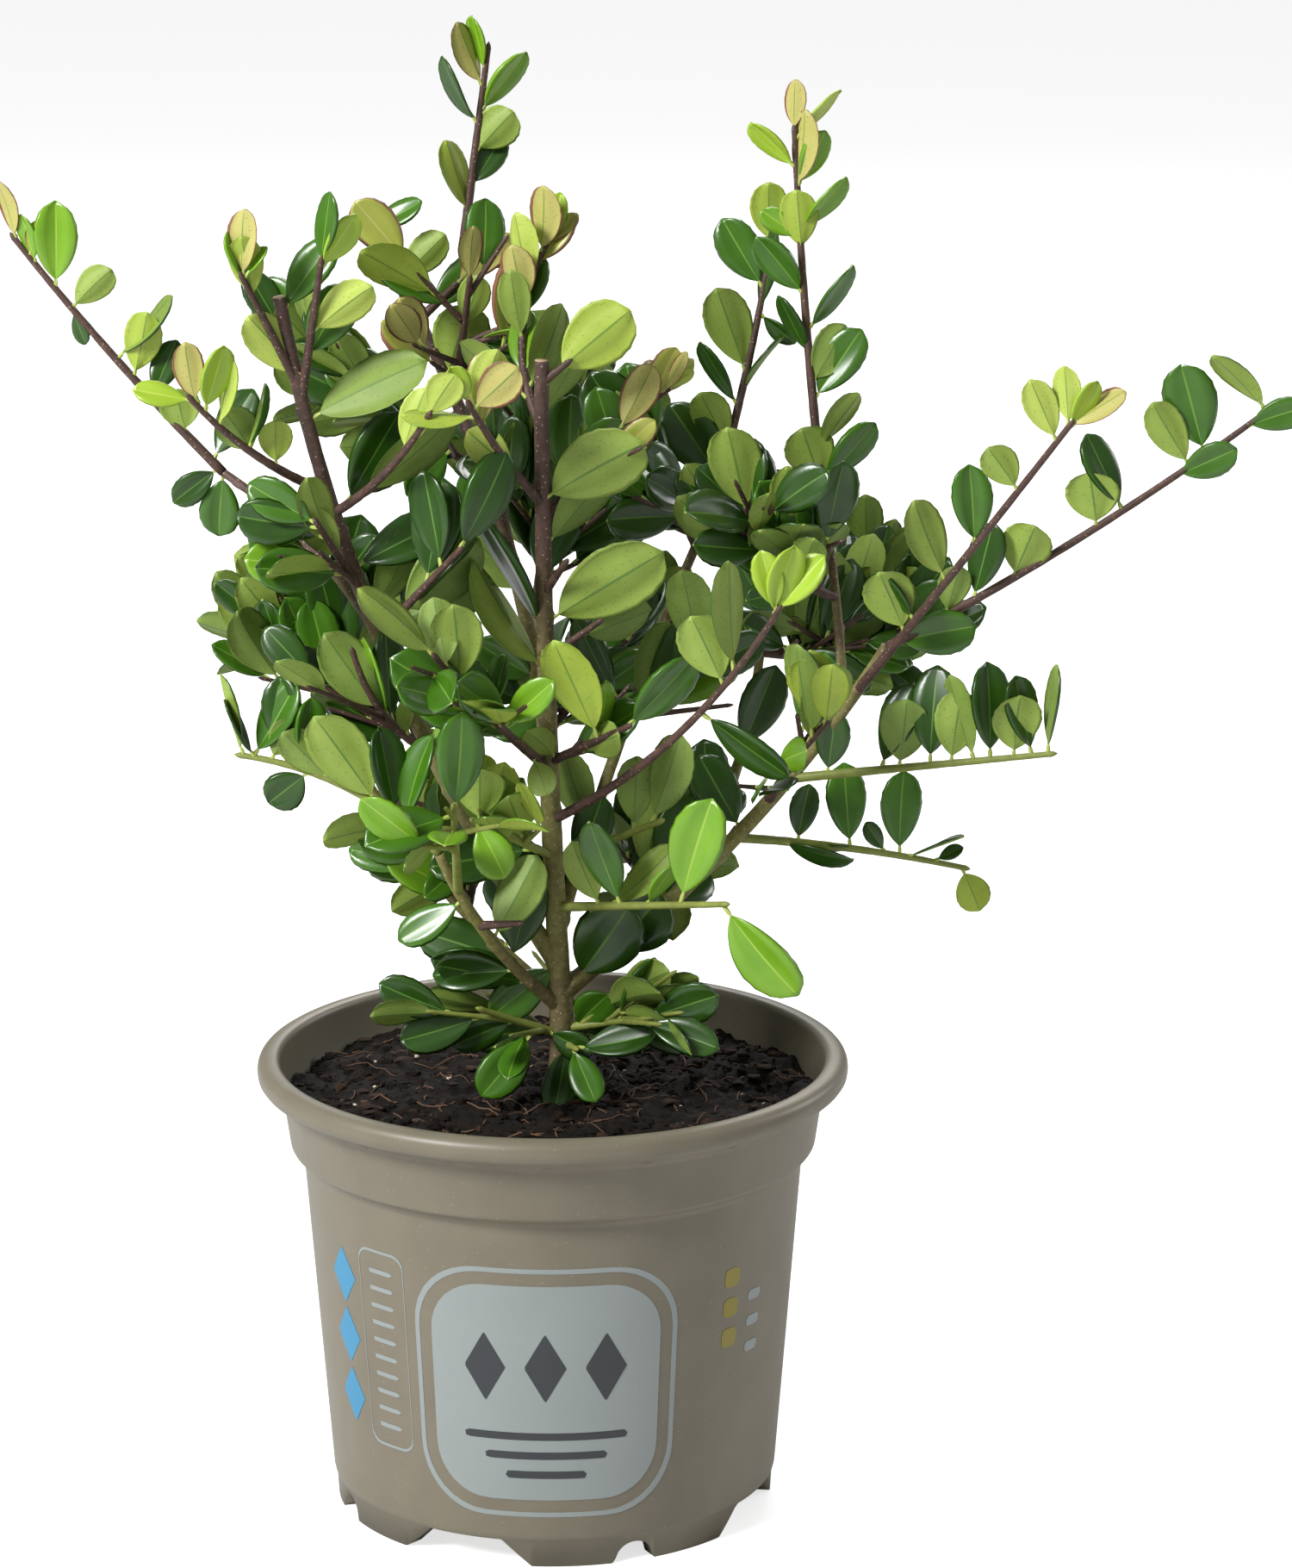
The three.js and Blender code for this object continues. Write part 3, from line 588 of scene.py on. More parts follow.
def soil_height(x, y):
    """The surface with its lumps: broad clods, crumbs and fine grit."""
    spot = Vector((x, y, 3.0))
    clods = noise.noise(spot * 0.16) * 1.5
    crumbs = abs(noise.noise(spot * 0.42)) * 1.5
    grit = noise.noise(spot * 1.3) * 0.45
    return soil_waves(x, y) + clods + crumbs + grit - 0.4


def soil_surface():
    places = [(0, 0, soil_height(0, 0))]
    for ring in range(1, SOIL_RINGS + 1):
        radius = SOIL_EDGE * (ring / SOIL_RINGS)
        for k in range(SOIL_TURNS):
            x, y, _ = round_the_pot(radius, 0, 360 * k / SOIL_TURNS)
            places.append((x, y, soil_height(x, y)))
    for k in range(SOIL_TURNS):
        places.append(round_the_pot(SOIL_EDGE - 3, SOIL_LEVEL - 8, 360 * k / SOIL_TURNS))
    places.append((0, 0, SOIL_LEVEL - 8))
    faces = [(0, 1 + k, 1 + (k + 1) % SOIL_TURNS) for k in range(SOIL_TURNS)]
    for ring in range(SOIL_RINGS):
        a, b = 1 + ring * SOIL_TURNS, 1 + (ring + 1) * SOIL_TURNS
        for k in range(SOIL_TURNS):
            j = (k + 1) % SOIL_TURNS
            faces.append((a + k, b + k, b + j, a + j))
    last = 1 + SOIL_RINGS * SOIL_TURNS
    faces += [(last + (k + 1) % SOIL_TURNS, last + k, len(places) - 1) for k in range(SOIL_TURNS)]
    return places, faces


PEAT = mottled_material("moist_peat", "060403", "1b130d", 380.0, 3.0, 0.9, 1.0, 0.0009)
PEAT.node_tree.nodes["Principled BSDF"].inputs["Specular IOR Level"].default_value = 0.25
make_piece("peat", *soil_surface(), [PEAT], replaces=["soil"], slot="soil")

# %% [markdown]
# A round limb is one function for trunk, boughs, twigs, fibres and stalks: rings of places round
# a path, each ring turned to the path's direction. A second function may change each place's
# radius, which gives bark its ridges and scars.

# %% Tubes
def unit(vectors):
    return vectors / np.linalg.norm(vectors, axis=-1, keepdims=True)


def tube(path, radii, sides=8, relief=None):
    """A closed tube along a path. relief(angle, share) multiplies the radius there."""
    path = np.asarray(path, dtype=float)
    tangents = unit(np.gradient(path, axis=0))
    guide = (0.13, 0.31, 0.94) if abs(tangents[0][2]) < 0.8 else (1.0, 0.2, 0.0)
    side = np.cross(tangents[0], guide)
    frames = []
    for tangent in tangents:
        side = unit(side - tangent * side.dot(tangent))
        frames.append((side, np.cross(tangent, side)))
    angles = 2 * math.pi * np.arange(sides) / sides
    count = len(path)
    places = []
    for k, (a, b) in enumerate(frames):
        share = k / (count - 1)
        scale = np.array([relief(t, share) for t in angles]) if relief else np.ones(sides)
        along_a, along_b = radii[k] * scale * np.cos(angles), radii[k] * scale * np.sin(angles)
        ring = path[k] + along_a[:, None] * a + along_b[:, None] * b
        places += ring.tolist()
    places += [path[0].tolist(), path[-1].tolist()]
    faces = []
    for k in range(count - 1):
        for i in range(sides):
            j = (i + 1) % sides
            faces.append((k * sides + i, k * sides + j, (k + 1) * sides + j, (k + 1) * sides + i))
    low, high = count * sides, count * sides + 1
    faces += [((i + 1) % sides, i, low) for i in range(sides)]
    start = (count - 1) * sides
    faces += [(start + i, start + (i + 1) % sides, high) for i in range(sides)]
    return places, faces


sample = tube([(0, 0, 0), (0, 0, 1), (0, 0, 2)], [1, 1, 1], 4)
print("a tube of 4 sides and 3 rings has", len(sample[1]), "faces")

# %% Crumbs, fibres and chips on the soil
CRUMB_COUNT, FIBRE_COUNT, CHIP_COUNT, GRAIN_COUNT = 1500, 150, 90, 26
soil_draw = np.random.default_rng(11)


def soil_spot(keep_off=4.0):
    """A random place on the soil, away from the trunk's foot."""
    while True:
        radius = (SOIL_EDGE - 1.5) * math.sqrt(soil_draw.random())
        x, y, _ = round_the_pot(radius, 0, 360 * soil_draw.random())
        if math.hypot(x - TRUNK_FOOT[0], y - TRUNK_FOOT[1]) > keep_off:
            return np.array([x, y, soil_height(x, y)])


def crumb(spot, size, flat=1.0):
    """An irregular lump: a cube's corners and face middles, pushed in and out."""
    steps = (-1, 0, 1)
    directions = [(x, y, z) for x in steps for y in steps for z in steps if (x, y, z) != (0, 0, 0)]
    directions = unit(np.array(directions, dtype=float))
    bumps = 0.7 + 0.5 * soil_draw.random((len(directions), 1))
    places = spot + directions * bumps * size * np.array([1, 0.8, 0.7 * flat])
    return places, hull_faces(directions)


def hull_faces(directions):
    """Faces of the hull round a set of directions, found once and kept for every crumb."""
    if not CRUMB_FACES:
        shape = bmesh.new()
        for direction in directions:
            shape.verts.new(direction)
        bmesh.ops.convex_hull(shape, input=shape.verts)
        shape.verts.index_update()
        CRUMB_FACES.extend(tuple(v.index for v in face.verts) for face in shape.faces)
        shape.free()
    return CRUMB_FACES


CRUMB_FACES = []


def fibre(spot, length, radius):
    """A thin curved strand lying on the soil."""
    turn = 2 * math.pi * soil_draw.random()
    bend = 1.6 * (soil_draw.random() - 0.5)
    path = []
    x, y = spot[0], spot[1]
    for _ in range(7):
        path.append((x, y, min(soil_height(x, y), SOIL_LEVEL + 3) + 0.25 + 0.3 * soil_draw.random()))
        x += length / 6 * math.cos(turn)
        y += length / 6 * math.sin(turn)
        turn += bend / 3
        inwards = min(1.0, (SOIL_EDGE - 2) / math.hypot(x, y))
        x, y = x * inwards, y * inwards
    return tube(path, [radius] * len(path), 5)


CRUMB_DARK = mottled_material("peat_crumb", "080504", "1a110b", 500.0, 2.0, 0.9, 0.9, 0.0005)
CRUMB_BROWN = mottled_material("brown_crumb", "251910", "39281c", 500.0, 2.0, 0.9, 0.6, 0.0003)
FIBRE_BROWN = mottled_material("peat_fibre", "4d3525", "684b36", 300.0, 2.0, 0.8)
GRAIN_PALE = mottled_material("pale_grain", "b9aa95", "d8cdbc", 300.0, 2.0, 0.8)

crumbs = [crumb(soil_spot(3.0), 0.35 + 1.5 * soil_draw.random() ** 3) for _ in range(CRUMB_COUNT)]
places, faces, numbers = join_parts(crumbs)
brown = soil_draw.random(CRUMB_COUNT) < 0.1
for finish in (CRUMB_DARK, CRUMB_BROWN):
    finish.node_tree.nodes["Principled BSDF"].inputs["Specular IOR Level"].default_value = 0.25
make_piece("soil_crumbs", places, faces, [CRUMB_DARK, CRUMB_BROWN], brown[numbers].astype(int),
           smooth=False, slot="soil")

fibres = [fibre(soil_spot(), 3 + 12 * soil_draw.random() ** 2, 0.1 + 0.14 * soil_draw.random())
          for _ in range(FIBRE_COUNT)]
fibres += [fibre(soil_spot(), 16 + 8 * soil_draw.random(), 0.3) for _ in range(8)]
places, faces, _ = join_parts(fibres)
make_piece("soil_fibres", places, faces, [FIBRE_BROWN], slot="soil")

chips = [crumb(soil_spot() + (0, 0, 0.4), 0.9 + 1.5 * soil_draw.random(), 0.3) for _ in range(CHIP_COUNT)]
chips += [crumb(soil_spot() + (0, 0, 0.3), 0.3 + 0.3 * soil_draw.random()) for _ in range(GRAIN_COUNT)]
places, faces, numbers = join_parts(chips)
pale = (np.arange(len(chips)) >= CHIP_COUNT)[numbers]
make_piece("soil_chips", places, faces, [CRUMB_BROWN, GRAIN_PALE], pale.astype(int),
           smooth=False, slot="soil")

# %% [markdown]
# Trunk and boughs follow the solids' own rule: each limb leaves its carrier at a share of its
# length, with a heading, a reach, a rise, and a bow. One function works the curve out, here as in
# the solids, so the dressed limbs lie exactly on the plain ones.

# %% Limbs by the solids' rule
TRUNK = {"heading": 240, "reach": 9, "rise": 164, "sway": 1.5,
         "radii": (2.6, 1.5), "flare": 2.2, "flare_height": 7.0}


def sized(on, at, heading, reach, rise, bow=0, sway=0, **more):
    """Where a limb leaves its carrier, its heading in degrees, and its sizes in millimetres."""
    sizes = {"on": on, "at": at, "heading": heading, "reach": reach, "rise": rise, "bow": bow, "sway": sway}
    return sizes | more


BOUGHS = {
    "left": sized("trunk", 0.18, 193, 59, 149, -8, 4, radii=(2.0, 1.4)),
    "back": sized("trunk", 0.28, 135, 60, 141, 1, 14, radii=(1.9, 1.2)),
    "right": sized("trunk", 0.14, 5, 71, 76, -7, -9, radii=(2.1, 1.3)),
    "mid": sized("trunk", 0.22, 53, 56, 85, -4, -5, radii=(1.5, 1.0)),
    "low_left": sized("trunk", 0.12, 217, 32, 40, -3, radii=(1.4, 1.1)),
    "rear": sized("trunk", 0.2, 96, 52, 66, -5, radii=(1.5, 1.0)),
    "rear_left": sized("trunk", 0.13, 158, 54, 58, -5, radii=(1.4, 1.0)),
    "rear_right": sized("right", 0.32, 62, 38, 46, -3, 2, radii=(1.4, 1.0)),
    "upright": sized("right", 0.84, 105, 18, 46, -1, 1, radii=(1.1, 0.9)),
    "far_left": sized("left", 0.52, 153, 38, 32, 3, radii=(1.1, 0.9)),
    "top": sized("back", 0.48, 113, 28, 63, -4, 1, radii=(1.1, 0.9)),
}
UP = np.array([0.0, 0.0, 1.0])


class Curve:
    """A curve with one bend, from foot to tip."""

    def __init__(self, foot, size):
        turn = math.radians(size["heading"])
        span = np.array([size["reach"] * math.cos(turn), size["reach"] * math.sin(turn), size["rise"]])
        along = unit(span)
        lifted = unit(UP - along * along[2])
        beside = np.cross(along, lifted)
        self.foot = np.asarray(foot, dtype=float)
        bow, sway = 2 * size.get("bow", 0), 2 * size.get("sway", 0)
        self.middle = self.foot + span / 2 + bow * lifted + sway * beside
        self.tip = self.foot + span

    def at(self, share):
        t = np.asarray(share, dtype=float)[..., None]
        return (1 - t) ** 2 * self.foot + 2 * t * (1 - t) * self.middle + t * t * self.tip

    def direction(self, share):
        ahead = (1 - share) * (self.middle - self.foot) + share * (self.tip - self.middle)
        return unit(ahead)

    def steps(self, count):
        return self.at(np.linspace(0, 1, count + 1))


def trunk_radius(share):
    height = np.asarray(share) * TRUNK["rise"]
    foot, tip = TRUNK["radii"]
    return foot + (tip - foot) * share + TRUNK["flare"] * np.exp(-height / TRUNK["flare_height"])


def bough_radius(size):
    foot, tip = size["radii"]
    return lambda share: foot + (tip - foot) * np.asarray(share)


limbs = {"trunk": (Curve((*TRUNK_FOOT, SOIL_LEVEL), TRUNK), trunk_radius)}
for name, size in BOUGHS.items():
    carrier = limbs[size["on"]][0]
    limbs[name] = (Curve(carrier.at(size["at"]), size), bough_radius(size))
print("limbs:", {name: [round(v) for v in curve.tip] for name, (curve, _) in limbs.items()})

# %% [markdown]
# Bark is thin here: fine lengthwise wrinkles, small raised pores, and a swollen scar where each
# old leaf sat. The relief is real geometry. The colour goes with height, as on the real plant:
# grey-brown at the soil, olive green where the wood is shaded, purplish brown in the light.

# %% Bark
BARK_SIDES = 28
BARK_STEP = 0.9  # mm between rings
SCAR_SPACING = 7.0


def bark_material():
    material = bpy.data.materials.new("bark")
    material.use_nodes = True
    tree = material.node_tree
    nodes, link = tree.nodes, tree.links.new
    shader = nodes["Principled BSDF"]
    shader.inputs["Roughness"].default_value = 0.62
    place = nodes.new("ShaderNodeTexCoord")
    parts = nodes.new("ShaderNodeSeparateXYZ")
    link(place.outputs["Object"], parts.inputs[0])
    wander = nodes.new("ShaderNodeTexNoise")
    wander.inputs["Scale"].default_value = 90.0
    link(place.outputs["Object"], wander.inputs["Vector"])
    shifted = nodes.new("ShaderNodeMath")
    shifted.operation = "MULTIPLY_ADD"
    shifted.inputs[1].default_value = 0.05
    link(wander.outputs["Fac"], shifted.inputs[0])
    link(parts.outputs["Z"], shifted.inputs[2])
    height = nodes.new("ShaderNodeMapRange")
    height.inputs["From Min"].default_value = (SOIL_LEVEL + 20) * MM
    height.inputs["From Max"].default_value = (SOIL_LEVEL + 190) * MM
    link(shifted.outputs[0], height.inputs["Value"])
    ramp = nodes.new("ShaderNodeValToRGB")
    link(height.outputs["Result"], ramp.inputs["Fac"])
    stops = [(0.0, "5f5140"), (0.14, "7a6f48"), (0.27, "8b8949"),
             (0.56, "857f49"), (0.74, "684f45"), (1.0, "5a443e")]
    for share, code in stops[1:-1]:
        ramp.color_ramp.elements.new(share)
    for element, (share, code) in zip(ramp.color_ramp.elements, stops):
        element.position = share
        element.color = (*colour(code), 1)
    mottle = add_group(tree, MOTTLE, Scale=700.0, Contrast=2.4)
    darker = nodes.new("ShaderNodeMix")
    darker.data_type = "RGBA"
    darker.blend_type = "MULTIPLY"
    darker.inputs["Factor"].default_value = 1.0
    darker.inputs["B"].default_value = (0.6, 0.55, 0.5, 1)
    link(ramp.outputs["Color"], darker.inputs["A"])
    link(ramp.outputs["Color"], mottle.inputs["Colour B"])
    link(darker.outputs["Result"], mottle.inputs["Colour A"])
    link(mottle.outputs["Colour"], shader.inputs["Base Color"])
    relief = nodes.new("ShaderNodeBump")
    relief.inputs["Strength"].default_value = 0.6
    relief.inputs["Distance"].default_value = 0.0002
    link(mottle.outputs["Height"], relief.inputs["Height"])
    link(relief.outputs["Normal"], shader.inputs["Normal"])
    return add_dots(material, 900.0, 0.22, "b5a58c", 0.8)


BARK = bark_material()
CUT_WOOD = mottled_material("cut_wood", "a58d6c", "c4ad8a", 600.0, 2.0, 0.8)


def bark_relief(curve, radius_at, seed):
    """Radius factors over angle and share: wrinkles, pores, scars, and ribs at a flared foot."""
    length = np.linalg.norm(np.diff(curve.steps(20), axis=0), axis=1).sum()
    scars = [(SCAR_SPACING * (k + 0.6), k * math.radians(137.5)) for k in range(int(length / SCAR_SPACING))]

    def relief(angle, share):
        distance = share * length
        radius = float(radius_at(share))
        spot = Vector((3.0 * math.cos(angle), 3.0 * math.sin(angle), 0.1 * distance + seed))
        wrinkle = 0.045 * noise.noise(spot * 2.2)
        wrinkle += 0.035 * noise.noise(Vector((spot.x * 4, spot.y * 4, spot.z * 1.6)))
        pore = 0.05 * max(0.0, noise.noise(Vector((spot.x * 3, spot.y * 3, distance * 1.1 + seed))) - 0.35)
        bump = 0.0
        for place, turn in scars:
            gap = distance - place
            if abs(gap) < 3:
                off = (angle - turn + math.pi) % (2 * math.pi) - math.pi
                bump += 0.42 * math.exp(-(off / 0.5) ** 2 - (gap / (1.4 if gap < 0 else 0.6)) ** 2) / radius
        ribs = 0.16 * math.cos(5 * angle + seed) * math.exp(-distance / 6) if radius > 3 else 0.0
        return 1 + wrinkle + pore + bump + ribs

    return relief


def bark_limb(name, curve, radius_at, seed, is_cut):
    start = -0.012 if name == "trunk" else 0.0
    length = np.linalg.norm(np.diff(curve.steps(20), axis=0), axis=1).sum()
    count = int(length / BARK_STEP)
    shares = np.linspace(start, 1, count + 1)
    collar = 0.0 if name == "trunk" else 0.5
    radii = radius_at(np.maximum(shares, 0)) + collar * np.exp(-shares * length / 3.5)
    places, faces = tube(curve.at(shares), radii, BARK_SIDES, bark_relief(curve, radius_at, seed))
    slots = [0] * (len(faces) - BARK_SIDES) + [1 if is_cut else 0] * BARK_SIDES
    node = name if name == "trunk" else "bough_" + name
    make_piece(node + "_bark", places, faces, [BARK, CUT_WOOD], slots, replaces=[node], slot="bark")


for number, (name, (curve, radius_at)) in enumerate(limbs.items()):
    bark_limb(name, curve, radius_at, 10.0 * number, name in ("trunk", "left", "back"))

# %% [markdown]
# Each mass of foliage is one shoot: a stem placed as a limb is, which carries leaves wound round
# it. The table gives each shoot its place, its number of leaves, their size, how far they turn up
# to the light, and its side twigs. The lists after it say which twigs are green, and which shoots
# end in lime or olive leaves.

# %% Shoots
SHOOTS = {
    "far_left": sized("far_left", 1, 169, 45, 49, -1, foliage=(11, 20, 1.2, 0)),
    "left_upper": sized("left", 0.88, 222, 14, 24, foliage=(10, 18, 1.2, 0)),
    "left_mid": sized("left", 0.86, 300, 10, 30, foliage=(11, 18, 0.8, 0)),
    "left_outer": sized("left", 0.73, 206, 30, 22, -2, foliage=(12, 19, 1.0, 1)),
    "left_inner": sized("left", 0.7, 318, 28, 24, -2, foliage=(11, 25, 0.8, 4)),
    "left_shoulder": sized("left", 0.58, 235, 15, 18, foliage=(12, 24, 1.3, 3)),
    "left_heart": sized("left", 0.52, 315, 25, 22, foliage=(12, 27, 1.4, 4)),
    "left_side": sized("left", 0.34, 212, 19, 24, -3, foliage=(13, 22, 1.2, 4)),
    "left_depth": sized("rear_left", 0.35, 78, 20, 18, foliage=(12, 25, 0.8, 3)),
    "back_crest": sized("back", 0.84, 8, 12, 11, foliage=(9, 19, 0.8, 0)),
    "back_side": sized("back", 0.72, 285, 15, 28, foliage=(10, 23, 1.0, 3)),
    "back_outer": sized("back", 0.6, 175, 28, 20, foliage=(12, 23, 1.0, 2)),
    "top": sized("top", 1, 34, 7, 44, foliage=(12, 17, 0.5, 0)),
    "crest": sized("trunk", 0.91, 87, 19, 37, -3, -5, foliage=(16, 18, 0.6, 1)),
    "cap": sized("trunk", 0.97, 350, 5, 4, foliage=(4, 20, 0.8, 0)),
    "front_upper": sized("trunk", 0.81, 236, 26, 25, -1, foliage=(10, 19, 1.0, 1)),
    "right_small": sized("trunk", 0.78, 25, 29, 27, 2, foliage=(11, 19, 0.8, 1)),
    "spur_high": sized("trunk", 0.69, 300, 9, 8, foliage=(8, 28, 1.2, 2)),
    "spur_mid": sized("trunk", 0.6, 335, 12, 9, foliage=(8, 29, 1.2, 2)),
    "front_left": sized("trunk", 0.45, 234, 39, 32, -1, foliage=(14, 26, 1.3, 2)),
    "stub_right": sized("trunk", 0.46, 314, 24, 12, foliage=(12, 24, 1.0, 3)),
    "front_right": sized("trunk", 0.38, 320, 62, 55, -5, foliage=(13, 21, 1.3, 0)),
    "front_left_low": sized("trunk", 0.33, 235, 28, 14, foliage=(12, 25, 1.0, 3)),
    "front_low_right": sized("trunk", 0.26, 317, 49, 10, foliage=(16, 26, 1.6, 2)),
    "base_left": sized("trunk", 0.08, 212, 20, 9, foliage=(12, 20, 0.5, 2)),
    "base_right": sized("trunk", 0.09, 335, 16, 4, foliage=(12, 22, 0.4, 2)),
    "base_front": sized("trunk", 0.07, 290, 8, 1, foliage=(5, 16, 0.1, 0)),
    "mid_top": sized("mid", 1, 28, 15, 58, -1, foliage=(14, 23, 0.6, 0)),
    "mid_side": sized("mid", 0.92, 235, 13, 18, foliage=(12, 26, 1.2, 3)),
    "mid_front": sized("mid", 0.5, 318, 22, 18, foliage=(11, 27, 1.2, 3)),
    "mid_low": sized("mid", 0.2, 310, 26, 12, foliage=(12, 27, 0.8, 4)),
    "upright": sized("upright", 1, 128, 10, 76, -1, foliage=(18, 18, 0.5, 0)),
    "right_inner": sized("upright", 0.5, 215, 24, 21, -3, foliage=(11, 24, 1.1, 2)),
    "right_high": sized("right", 0.88, 322, 54, 65, -1, 2, foliage=(13, 21, 0.8, 0)),
    "right_far": sized("right", 1, 6, 82, 50, -2, foliage=(13, 21, 0.9, 0)),
    "right_front": sized("right", 0.58, 300, 22, 24, foliage=(12, 25, 1.2, 3)),
    "low_right": sized("right", 0.65, 342, 58, 10, foliage=(11, 26, 2, 0)),
    "lowest_right": sized("right", 0.48, 17, 53, -11, 1, foliage=(12, 17, 0.8, 0)),
    "left_big": sized("low_left", 0.8, 270, 22, 24, foliage=(11, 26, 1.3, 3)),
    "left_low": sized("low_left", 1, 172, 42, 20, 4, foliage=(16, 21, 1.2, 0)),
    "right_low": sized("right", 0.2, 75, 22, 16, foliage=(12, 25, 0.8, 3)),
    "left_lowest": sized("low_left", 0.6, 305, 15, 4, foliage=(12, 22, 0.6, 3)),
    "rear_tip": sized("rear", 1, 80, 20, 38, -3, foliage=(17, 25, 0.9, 2)),
    "rear_side": sized("rear", 0.62, 60, 30, 14, foliage=(14, 25, 1.0, 3)),
    "rear_left_tip": sized("rear_left", 1, 100, 16, 24, -2, foliage=(16, 24, 1.0, 3)),
    "rear_right_tip": sized("rear_right", 1, 20, 34, 0, -2, foliage=(17, 24, 1.0, 3)),
}
GREEN_TWIGS = ("front_low_right", "front_left_low", "left_low", "left_big", "low_right", "mid_low",
               "lowest_right", "base_left", "base_right", "base_front")
LIME_TIPS = ("far_left", "left_outer", "front_upper", "top", "upright", "right_high", "front_right",
             "left_inner", "lowest_right")
OLIVE_TIPS = ("left_upper", "left_mid", "crest", "back_crest", "right_small", "back_side")

curves = {name: Curve(limbs[shoot["on"]][0].at(shoot["at"]), shoot) for name, shoot in SHOOTS.items()}
print("shoots:", len(curves), "leaves asked for:", sum(shoot["foliage"][0] for shoot in SHOOTS.values()))

# %% [markdown]
# Leaves wind round a stem by the golden angle, spread wide at its foot and stand closer at its
# tip. Each mass keeps to the space nearer to its own stem than to any other. A leaf that would
# leave it, touch a limb or lie in another leaf is turned on a few times and then left out. The
# draws come in the solids' order, so the same leaves grow in the same places.

# %% Leaf places by the solids' rule
LEAF_WIDTH = 0.58  # of its length, as the solids have it
LAST_ROOT = 0.985  # no leaf sits further along its stem
BASE_SPREAD, TIP_SPREAD, TIP_SIZE, GOLDEN = 54.0, 26.0, 0.72, 137.5
FIRST_LEAF, SPREAD_VARIES, SIZE_VARIES, ROLL_VARIES = 0.12, 16.0, (0.85, 1.15), 0.7
SIDE_LEAVES, SIDE_SIZE, SIDE_FROM, SIDE_TO = 5, 0.85, 0.3, 0.8
SIDE_TURN, SIDE_REACH, SIDE_RISE = (0.7, 1.3), (10, 17), (5, 14)
FRONT, FACING, BROADSIDE = np.array([0.0, -1.0, 0.0]), 1.0, 0.55
TRIES, SHRINK, CLEAR_OF_LIMB, CLEAR_OF_SPACE, APART = 7, 0.97, 0.9, 0.3, 2.2


def distances(points, path):
    """Distance from each point to a path of straight pieces."""
    start, end = path[:-1][None], path[1:][None]
    span = end - start
    share = ((points[:, None] - start) * span).sum(-1) / (span**2).sum(-1)
    nearest = start + np.clip(share, 0, 1)[..., None] * span
    return np.linalg.norm(points[:, None] - nearest, axis=-1).min(axis=1)


stem_paths = {name: curve.steps(6) for name, curve in curves.items()}
limb_paths = [(curve.steps(8), float(radius_at(0.3))) for curve, radius_at in limbs.values()]


def space_of(name):
    others = [path for other, path in stem_paths.items() if other != name]

    def inside(points):
        reach = distances(points, stem_paths[name]) + CLEAR_OF_SPACE
        if any((distances(points, path) < reach).any() for path in others):
            return False
        return all((distances(points, path) > width + CLEAR_OF_LIMB).all() for path, width in limb_paths)

    return inside


def turned_round(vector, axis, angle):
    return (vector * math.cos(angle) + np.cross(axis, vector) * math.sin(angle)
            + axis * axis.dot(vector) * (1 - math.cos(angle)))


def leaf_frame(curve, along, turn, spread, lift, roll):
    tangent = curve.direction(along)
    level = unit(np.cross(tangent, UP))
    upper = np.cross(level, tangent)
    outward = level * math.cos(turn) + upper * math.sin(turn)
    axis = tangent * math.cos(spread) + outward * math.sin(spread) + UP * lift
    axis = unit(axis - FRONT * BROADSIDE * axis.dot(FRONT))
    face = tangent * math.sin(spread) - outward * math.cos(spread)
    face = unit(face - axis * face.dot(axis))
    light = FRONT - axis * axis.dot(FRONT)
    face = unit(face + light * (-FACING if face.dot(light) < 0 else FACING))
    face = turned_round(face, axis, roll)
    return axis, np.cross(face, axis), face


SPOTS = np.array([(1.0, 0.0)] + [(a, s) for a in (0.3, 0.5, 0.7, 0.85) for s in (-0.8, 0.0, 0.8)])


def leaf_spots(root, frame_of_leaf, length):
    axis, across, _ = frame_of_leaf
    return root + SPOTS[:, :1] * length * axis + SPOTS[:, 1:] * LEAF_WIDTH * length / 2 * across


def between(ends, share):
    return ends[0] + (ends[1] - ends[0]) * share


def place_leaves(curve, count, size, lift, draw, inside, placed, leaves, kind, apart=APART):
    turn = draw() * 2 * math.pi
    for i in range(count):
        along = FIRST_LEAF + (1 - FIRST_LEAF) * (i + 0.7) / count
        narrowing = (TIP_SPREAD - BASE_SPREAD) * along**2
        spread = math.radians(BASE_SPREAD + narrowing + SPREAD_VARIES * (draw() - 0.5))
        length = size * (1 + (TIP_SIZE - 1) * along**2) * between(SIZE_VARIES, draw())
        roll = ROLL_VARIES * (draw() - 0.5)
        for attempt in range(TRIES):
            turn += math.radians(GOLDEN)
            length *= SHRINK if attempt else 1
            directions = leaf_frame(curve, along, turn, spread, lift * (1 - attempt / TRIES), roll)
            root = curve.at(min(along, LAST_ROOT))
            spots = leaf_spots(root, directions, length)
            taken = np.concatenate(placed)[None] if placed else None
            free = taken is None or np.linalg.norm(spots[:, None] - taken, axis=-1).min() > apart
            if free and inside(spots):
                placed.append(spots)
                leaf = {"root": root, "frame": directions, "length": length, "along": along, "kind": kind}
                leaves.append(leaf)
                break


def grow_twig(curve, share, size, lift, draw, inside, placed, leaves, kind):
    tangent = curve.direction(share)
    side = -1 if draw() < 0.5 else 1
    out = math.atan2(tangent[1], tangent[0]) + side * between(SIDE_TURN, draw())
    reach = between(SIDE_REACH, draw())
    twig = Curve(curve.at(share), sized("", 0, math.degrees(out), reach, between(SIDE_RISE, draw())))
    if not inside(twig.steps(4)[1:]):
        return None
    before = len(leaves)
    place_leaves(twig, SIDE_LEAVES, SIDE_SIZE * size, lift, draw, inside, placed, leaves, kind)
    for leaf in leaves[before:]:
        leaf["twig"] = twig
    return twig


